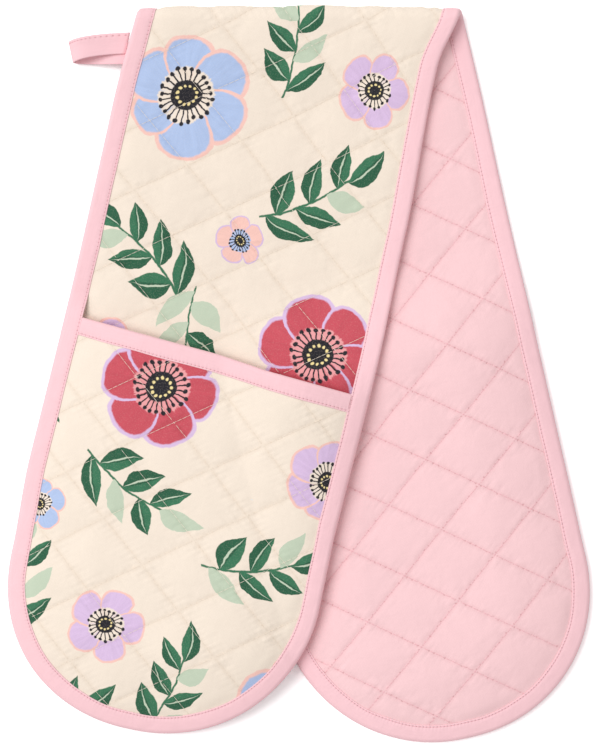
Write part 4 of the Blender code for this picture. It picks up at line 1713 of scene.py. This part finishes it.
@dataclass(frozen=True)
class QuiltedHalf:
    """One half of the glove: band, hand pocket, their tapes and their stitches."""

    lay: GloveLay
    quilting: Quilting
    finishes: Finishes
    half: Half
    tape: FoldedTape
    steps: dict[tuple[Cut, Layer], int]
    pocket_shift: tuple[float, float]
    mouth_roll: float = 1.3 * MM
    mouth_roll_length: float = 4 * MM

    @property
    def name(self) -> str:
        """The half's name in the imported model."""
        return self.half.name.lower()

    @property
    def body(self) -> str:
        """The body that the half moves with."""
        return f"{self.name}_half"

    def make(self) -> None:
        """Makes and dresses all its pieces."""
        trims = {Cut.BAND: [self.binding("edge")], Cut.POCKET: [self.binding("mouth")]}
        for cut in Cut:
            trims[cut] += self.quilting_stitches(cut)
            for layer in Layer:
                piece, patch = self.cloth(cut, layer)
                if layer is Layer.WADDING:
                    continue
                patch.size()
                f"{self.name}_{cut.value}_wadding"
                patch.area()
        self.tape_stitches()

    def rim(self, cut: Cut, u: Array, s: Array) -> Array:
        """Distance from where tape holds the cloth flat."""
        return PatchCutter(self.lay, self.quilting).rim(self.half, cut, u, s)

    def surfaces(self, cut: Cut, layer: Layer, u: Array, s: Array) -> tuple[Array, Array]:
        """The two levels of one layer of the band or the pocket."""
        rim = self.rim(cut, u, s)
        low, high = self.quilting.levels(layer, u, s, rim)
        if cut is Cut.POCKET:
            base = self.lay.pocket_level(self.half, u, s)
            return base + low, base + high
        before = -self.lay.inside_mouth(self.half, u, s) / self.mouth_roll_length
        roll = np.clip(before, 0, None) * np.exp(1 - np.clip(before, 0, None))
        lift = self.mouth_roll * roll * smooth(rim / (9 * MM)) * (layer is Layer.FACE)
        return low, high + lift

    def cloth(self, cut: Cut, layer: Layer) -> tuple[bpy.types.Object, Patch]:
        """Makes one layer of the band or the pocket.

        Args:
            cut: Band or pocket.
            layer: Lining, wadding or face.

        Returns:
            The piece and its flat patch.
        """
        patch = PatchCutter(self.lay, self.quilting).cut(self.half, cut, self.steps[cut, layer])
        levels = self.surfaces(cut, layer, patch.u, patch.s)
        low, high = (self.lay.place(patch.u, patch.s, level) for level in levels)
        shift = self.pocket_shift if cut is Cut.POCKET else (0.0, 0.0)
        uv = np.stack([patch.u + shift[0], patch.s + shift[1]], axis=1)
        slot, finish = self.finishes.cloth(layer)
        name = f"{self.name}_{cut.value}_{layer.value}"
        piece = shell(f"{name}_quilted", patch, low, high, uv, finish)
        return dress(piece, self.body, slot, name), patch

    def edge_levels(self, u: Array, s: Array) -> tuple[Array, Array]:
        """Levels of the cloths that the edge tape wraps."""
        lay = self.lay
        step = lay.binding_step(self.half, u, s) * lay.pocket_level(self.half, u, s)
        return np.full_like(u, lay.puff), lay.quilt - lay.puff + step

    def mouth_levels(self, u: Array, s: Array) -> tuple[Array, Array]:
        """Levels of the cloths that the mouth's tape wraps."""
        base = self.lay.pocket_level(self.half, u, s)
        return base + self.lay.puff, base + self.lay.quilt - self.lay.puff

    def edge_stations(self) -> Stations:
        """The edge from the fold's left end round the tip to its right end."""
        lay, side = self.lay, self.half.value
        inner = lay.half_width - lay.hem
        centre = lay.round_centre(self.half)
        slant = math.tan(lay.fold_slant)
        u, v, out_u, out_v = [], [], [], []
        for way in (-1, 1):
            start = side * float(lay.along(np.array(way * inner), np.array(side * lay.half_start)))
            run = np.linspace(start, centre, int((centre - start) / (1.9 * MM)))
            lean = -side * way * slant * (1 - smooth((run - start) / (34 * MM)))
            if way > 0:
                run, lean = run[::-1], lean[::-1]
            u.append(np.full_like(run, way * inner))
            v.append(run)
            out_u.append(np.full_like(run, way))
            out_v.append(lean)
            if way < 0:
                angles = np.linspace(-math.pi / 2, math.pi / 2, 150)[1:-1]
                u.append(inner * np.sin(angles))
                v.append(centre + inner * np.cos(angles))
                out_u.append(np.sin(angles))
                out_v.append(np.cos(angles))
        u, v, out_u, out_v = (np.concatenate(a) for a in (u, v, out_u, out_v))
        steps = np.hypot(np.diff(u + out_u * lay.hem), np.diff(v + out_v * lay.hem))
        return Stations(u, side * v, out_u, side * out_v, np.concatenate([[0], np.cumsum(steps)]))

    def mouth_stations(self) -> Stations:
        """The pocket's mouth from left to right, up to the edge tape."""
        lay, side = self.lay, self.half.value
        inner = lay.half_width - lay.hem + 0.5 * MM
        u = np.linspace(-inner, inner, 110)
        v = lay.mouth_line(self.half, u) + lay.hem / math.cos(lay.mouth_slant)
        out_v = np.full_like(u, -1 / math.cos(lay.mouth_slant))
        return Stations(u, side * v, np.zeros_like(u), side * out_v, u - u[0])

    def taped(self) -> dict[str, tuple[Stations, Levels]]:
        """The half's taped edges, and the levels of what the tape wraps there."""
        return {
            "edge": (self.edge_stations(), self.edge_levels),
            "mouth": (self.mouth_stations(), self.mouth_levels),
        }

    def binding(self, edge: str) -> bpy.types.Object:
        """The tape round the half's edge, or along its pocket's mouth."""
        name = f"{self.name}_{edge}_binding"
        made = self.tape.make(f"{name}_tape", *self.taped()[edge], self.finishes.tape)
        return dress(made, self.body, "pink_binding", name)

    def quilting_stitches(self, cut: Cut) -> list[bpy.types.Object]:
        """The diamond stitching on the cloths that can be seen."""
        made = []
        for layer in SEAM_STITCHES if cut is Cut.BAND else (Layer.FACE,):
            name = f"{self.name}_{cut.value}_{layer.value}_stitches"
            sewn = SEAM_STITCHES[layer].sew(name, self.seam_lines(cut, layer), self.finishes.thread(layer))
            made.append(dress(sewn, self.body, None))
        return made

    def seam_lines(self, cut: Cut, layer: Layer) -> list[Array]:
        """World points of each quilting seam on one side of a patch."""
        cutter = PatchCutter(self.lay, self.quilting)
        lines = []
        for u, s in self.quilting.seam_runs(16):
            seen = cutter.limits(self.half, cut, u, s) > 1.0 * MM
            seen &= cutter.rim(self.half, cut, u, s) > -1.0 * MM
            if cut is Cut.BAND and layer is Layer.FACE:
                seen &= self.lay.inside_mouth(self.half, u, s) < 16 * MM
            level = stitch_level(layer, *self.surfaces(cut, layer, u, s))
            points = self.lay.place(u, s, level)
            cuts = np.flatnonzero(np.diff(seen.astype(int))) + 1
            pieces = zip(np.split(points, cuts), np.split(seen, cuts))
            lines += [part for part, shown in pieces if shown[0] and len(part) > 1]
        return lines

    def tape_stitches(self) -> None:
        """The stitching along both tapes, on both sides."""
        lines = [
            self.tape.stitch_run(stations, levels, side)
            for stations, levels in self.taped().values()
            for side in (1, -1)
        ]
        sewn = TAPE_STITCHES.sew(f"{self.name}_tape_stitches", lines, self.finishes.pink_thread)
        dress(sewn, self.body, None)


@dataclass(frozen=True)
class FoldStretch:
    """The short stretch of quilt and tape that bends between the halves."""

    lay: GloveLay
    quilting: Quilting
    finishes: Finishes
    tape: FoldedTape
    rows: int = 26
    columns: int = 150

    def make(self) -> None:
        """Makes and dresses its pieces."""
        lay = self.lay
        reach, width = lay.half_start, lay.half_width - lay.cut_edge
        lines = np.linspace(-width, width, self.columns), np.linspace(-reach, reach, self.rows)
        u, past = (grid.ravel() for grid in np.meshgrid(*lines, indexing="ij"))
        s = lay.along(u, past)
        patch = Patch(u, s, grid_faces(self.columns, self.rows))
        rim = lay.inside_edge(u, s) - lay.hem
        for layer, radius in ((Layer.LINING, 2.9 * MM), (Layer.WADDING, 4.6 * MM), (Layer.FACE, 6.4 * MM)):
            slot, finish = self.finishes.cloth(layer)
            name = f"fold_{layer.value}"
            low, high = (lay.place(u, s, level) for level in self.quilting.levels(layer, u, s, rim))
            piece = shell(f"{name}_quilted", patch, low, high, np.stack([u, s], axis=1), finish)
            self.bend(piece, radius + 0.8 * MM, slot, name)
        for side, word in ((-1, "left"), (1, "right")):
            self.edge_tape(side, f"fold_binding_{word}")
        self.seams()

    def bend(self, piece: bpy.types.Object, radius: float, slot: str | None, *nodes: str) -> None:
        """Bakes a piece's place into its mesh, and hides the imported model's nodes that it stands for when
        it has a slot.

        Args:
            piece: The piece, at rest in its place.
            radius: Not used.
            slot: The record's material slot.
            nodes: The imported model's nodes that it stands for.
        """
        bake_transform(piece)
        if slot:
            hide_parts(*nodes)
        LOG.info("%s: %d faces, bends at the fold", piece.name, len(piece.data.polygons))

    def stations(self, side: int) -> Stations:
        """The edge of the bend on one side."""
        lay = self.lay
        past = np.linspace(-lay.half_start, lay.half_start, self.rows)
        u = np.full_like(past, side * (lay.half_width - lay.hem))
        out = np.full_like(past, side)
        return Stations(u, lay.along(u, past), out, -out * math.tan(lay.fold_slant), past - past[0])

    def levels(self, u: Array, s: Array) -> tuple[Array, Array]:
        """Levels of the cloths that the tape wraps."""
        return np.full_like(u, self.lay.puff), np.full_like(u, self.lay.quilt - self.lay.puff)

    def edge_tape(self, side: int, name: str) -> None:
        """The edge tape where it goes round the fold, and its stitches."""
        stations = self.stations(side)
        made = self.tape.make(f"{name}_tape", stations, self.levels, self.finishes.tape)
        self.bend(made, 7.4 * MM, "pink_binding", name)
        lines = [self.tape.stitch_run(stations, self.levels, way) for way in (1, -1)]
        sewn = TAPE_STITCHES.sew(f"{name}_stitches", lines, self.finishes.pink_thread)
        self.bend(sewn, 7.4 * MM, None)

    def seams(self) -> None:
        """The quilting seams that cross the bend."""
        lay, quilting = self.lay, self.quilting
        for layer, row in SEAM_STITCHES.items():
            lines = []
            for u, s in quilting.seam_runs(5):
                rim = lay.inside_edge(u, s) - lay.hem
                seen = (np.abs(lay.past_fold(u, s)) < lay.fold_reach) & (rim > 0)
                if seen.sum() > 1:
                    u, s, rim = u[seen], s[seen], rim[seen]
                    lines.append(lay.place(u, s, stitch_level(layer, *quilting.levels(layer, u, s, rim))))
            sewn = row.sew(f"fold_{layer.value}_stitches", lines, self.finishes.thread(layer))
            self.bend(sewn, 7.4 * MM, None)


def dress(piece: bpy.types.Object, body: str, slot: str | None, *nodes: str) -> bpy.types.Object:
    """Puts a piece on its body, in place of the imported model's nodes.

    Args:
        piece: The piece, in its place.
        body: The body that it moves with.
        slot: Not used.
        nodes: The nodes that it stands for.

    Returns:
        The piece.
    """
    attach(piece, body)
    if nodes:
        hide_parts(*nodes)
    LOG.info("%s: %d faces on %s", piece.name, len(piece.data.polygons), body)
    return piece


@dataclass(frozen=True)
class HangingLoop:
    """The folded tape that hangs the glove up, and its two ends sewn under the edge."""

    lay: GloveLay
    finishes: Finishes
    tape_width: float = 12.6 * MM
    tape_thickness: float = 0.9 * MM
    length: float = 32 * MM
    eye: float = 9.0 * MM
    droop: float = 3.0 * MM
    fan: float = 6.0 * MM
    lift: float = 4.0 * MM
    from_fold: float = 27 * MM
    running_gap: float = 0.3 * MM
    tip_slant: float = math.radians(12)
    strand_gap: float = 0.4 * MM
    sewn_length: float = 9 * MM
    steps: int = 96

    @property
    def stack(self) -> float:
        """Thickness of the two strands together."""
        return 2 * self.tape_thickness + self.strand_gap

    def root(self) -> tuple[float, float]:
        """Distance along the front half's left edge, and level below its crests."""
        lay = self.lay
        sin, cos = math.sin(lay.fold_slant), math.cos(lay.fold_slant)
        v = (self.from_fold + lay.half_width * sin) / cos
        return v, lay.puff - 1.6 * MM - self.stack / 2

    def hinge(self) -> Array:
        """The point that the loop turns about."""
        v, level = self.root()
        edge = self.lay.place(np.array(-self.lay.half_width), np.array(v), np.array(level))
        return edge - np.array([self.stack / 2 + self.running_gap, 0, 0])

    def section(self) -> tuple[Array, Array]:
        """The tape's outline: places across it and through it, from -1 to 1."""
        across = (-1, -0.97, -0.9, -0.78, 0.78, 0.9, 0.97, 1)
        thick = (0.35, 0.8, 1.0, 0.94, 0.94, 1.0, 0.8, 0.35)
        return (
            np.array(across + across[::-1]) * self.tape_width / 2,
            np.array(thick + tuple(-t for t in thick[::-1])),
        )

    def make(self) -> None:
        """Makes the loop and its sewn ends."""
        tape = self.loop_tape()
        stitched = self.edge_stitches()
        ends = self.sewn_ends()
        LOG.info("%s: sewn under the left edge", ends.name)

    def centre_line(self) -> Array:
        """Out and up of the tape's middle, round the loop."""
        turn = np.linspace(0, 1, self.steps + 1)
        share = np.sin(math.pi * turn)
        strands = (2 * turn - 1) * (self.stack - self.tape_thickness) / 2
        eye = -(self.eye + self.tape_thickness) / 2 * np.sin(2 * math.pi * turn) * share
        return np.stack([self.length * share, strands + eye - self.droop * share**2], axis=1)

    def rings(self, across: Array, thick: Array) -> Array:
        """World points of the tape, a row for each step round the loop."""
        line = self.centre_line()
        turn = np.linspace(0, 1, self.steps + 1)
        share = np.sin(math.pi * turn)[:, None]
        run = np.gradient(line, axis=0)
        run[[0, -1], 1] = 0
        normal = np.stack([-run[:, 1], run[:, 0]], axis=1)
        normal *= self.tape_thickness / 2 / np.linalg.norm(normal, axis=1)[:, None]
        slant = math.tan(self.lay.fold_slant) * (1 - share) - math.tan(self.tip_slant) * share
        wide = across[None] + self.fan * (smooth(2 * turn - 1)[:, None] - share / 2)
        x = slant * wide - line[:, :1] - thick[None] * normal[:, :1]
        wide = wide + self.lift * share**1.3
        z = line[:, 1:] + thick[None] * normal[:, 1:]
        points = np.stack([x, wide, z], axis=-1)
        root = self.stack / 2
        ends = []
        for end in (0, -1):
            ring = points[end].copy()
            ring[:, 0] += root * math.cos(math.radians(30))
            ring[:, 2] = np.clip(ring[:, 2], -root / 2, root / 2)
            ends.append(ring)
        points = np.concatenate([ends[0][None], points, ends[1][None]])
        return points + self.hinge()

    def loop_tape(self) -> bpy.types.Object:
        """The loop's tape."""
        across, thick = self.section()
        points = self.rings(across, thick)
        run = np.linspace(0, 2.2 * self.length, len(points))
        from_seam = self.tape_width / 2 - 0.5 * MM - across
        made = loft("hanging_loop_tape", points, run, from_seam, self.finishes.tape)
        return dress(made, "loop", "pink_binding", "hanging_loop")

    def edge_stitches(self) -> bpy.types.Object:
        """The row of stitches that closes the folded tape along one side."""
        across = np.array([self.tape_width / 2 - 1.6 * MM])
        lines = [self.rings(across, np.array([way]))[2:-2, 0] for way in (0.98, -0.98)]
        run = np.linspace(0, 2.2 * self.length, len(lines[0]))
        lines = [evenly(line, 2.3 * MM, run) for line in lines]
        sewn = TAPE_STITCHES.sew("hanging_loop_stitches", lines, self.finishes.pink_thread)
        return dress(sewn, "loop", None)

    def sewn_ends(self) -> bpy.types.Object:
        """The tape's two ends, flat under the edge tape."""
        v, level = self.root()
        across, thick = self.section()
        run = np.linspace(0, self.sewn_length, 8)
        u = run[:, None] - self.lay.half_width
        points = self.lay.place(u, v + across[None], level + thick[None] * self.stack / 2)
        made = loft("loop_sewn_ends", points, run, across, self.finishes.tape)
        piece = dress(made, "front_half", "pink_binding", "loop_sewn_end")
        return piece


@dataclass(frozen=True)
class Studio:
    """A white table under soft light, seen straight from above."""

    lens: float = 120.0
    distance: float = 1.475
    look_at: tuple[float, float, float] = (-0.0006, 0.0003, 0.010)
    key_strength: float = 1.75
    key_spread: float = math.radians(40)
    key_from: tuple[float, float, float] = (-0.9, 0.5, 1.4)
    fill: float = 0.57
    table_seen: float = 1.5

    def make(self) -> None:
        """Makes the camera, the lights and the table."""
        self.camera()
        self.lights()
        self.table()

    def camera(self) -> None:
        """The camera over the table."""
        data = bpy.data.cameras.new("camera")
        data.lens, data.sensor_width, data.sensor_fit = self.lens, 36.0, "AUTO"
        made = placed("camera", data)
        x, y, z = self.look_at
        made.location = (x, y, z + self.distance)
        bpy.context.scene.camera = made

    def lights(self) -> None:
        """A broad far lamp from the upper left, and light from all round."""
        data = bpy.data.lights.new("key", "SUN")
        data.angle, data.energy = self.key_spread, self.key_strength
        made = placed("key", data)
        made.location = self.key_from
        made.rotation_euler = (-Vector(self.key_from)).to_track_quat("-Z", "Y").to_euler()
        world = bpy.data.worlds.new("room")
        world.use_nodes = True
        background = world.node_tree.nodes["Background"]
        background.inputs["Color"].default_value = (1, 1, 1, 1)
        background.inputs["Strength"].default_value = self.fill
        bpy.context.scene.world = world
        bpy.context.scene.view_settings.view_transform = "Standard"

    def table(self) -> None:
        """The table top: white to the camera, and it keeps the glove's shadow."""
        mesh = bpy.data.meshes.new("table_top")
        corners = [(-3, -3), (3, -3), (3, 3), (-3, 3)]
        mesh.from_pydata([(x, y, -0.3 * MM) for x, y in corners], [], [(0, 1, 2, 3)])
        material, tree, shader = start_material("white_table", "#F2F2F2")
        add = partial(node, tree)
        tree.nodes.remove(shader)
        path = add("LightPath")
        seen = add("MAXIMUM", path.outputs["Is Camera Ray"], path.outputs["Is Glossy Ray"])
        seen = add("MAXIMUM", seen, path.outputs["Is Transmission Ray"])
        white = (self.table_seen,) * 3 + (1,)
        colour = add("Mix RGBA", seen, (0.8, 0.8, 0.8, 1), white)
        matt = add("BsdfDiffuse", colour)
        feed(tree, tree.nodes["Material Output"], Surface=matt)
        mesh.materials.append(material)
        placed("table_top", mesh)


def main() -> None:
    """Builds the pieces in order."""
    logging.basicConfig(level=logging.INFO, format="%(message)s")
    for old in list(bpy.data.objects):
        bpy.data.objects.remove(old)
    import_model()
    Studio().make()
    lay, quilting = GloveLay(), Quilting.sewn()
    tape = FoldedTape(lay)
    finishes = Finishes.make(quilting, tape)
    for half, steps, shift in (
        (Half.BACK, {Cut.BAND: (12, 8, 26), Cut.POCKET: (20, 8, 6)}, (0.06, 0.05)),
        (Half.FRONT, {Cut.BAND: (26, 8, 10), Cut.POCKET: (32, 8, 6)}, (0.085, -0.04)),
    ):
        counts = {
            (cut, layer): count
            for cut, of_cut in steps.items()
            for layer, count in zip((Layer.FACE, Layer.WADDING, Layer.LINING), of_cut)
        }
        QuiltedHalf(lay, quilting, finishes, half, tape, counts, shift).make()
    FoldStretch(lay, quilting, finishes, tape).make()
    HangingLoop(lay, finishes).make()


if __name__ == "__main__":
    main()
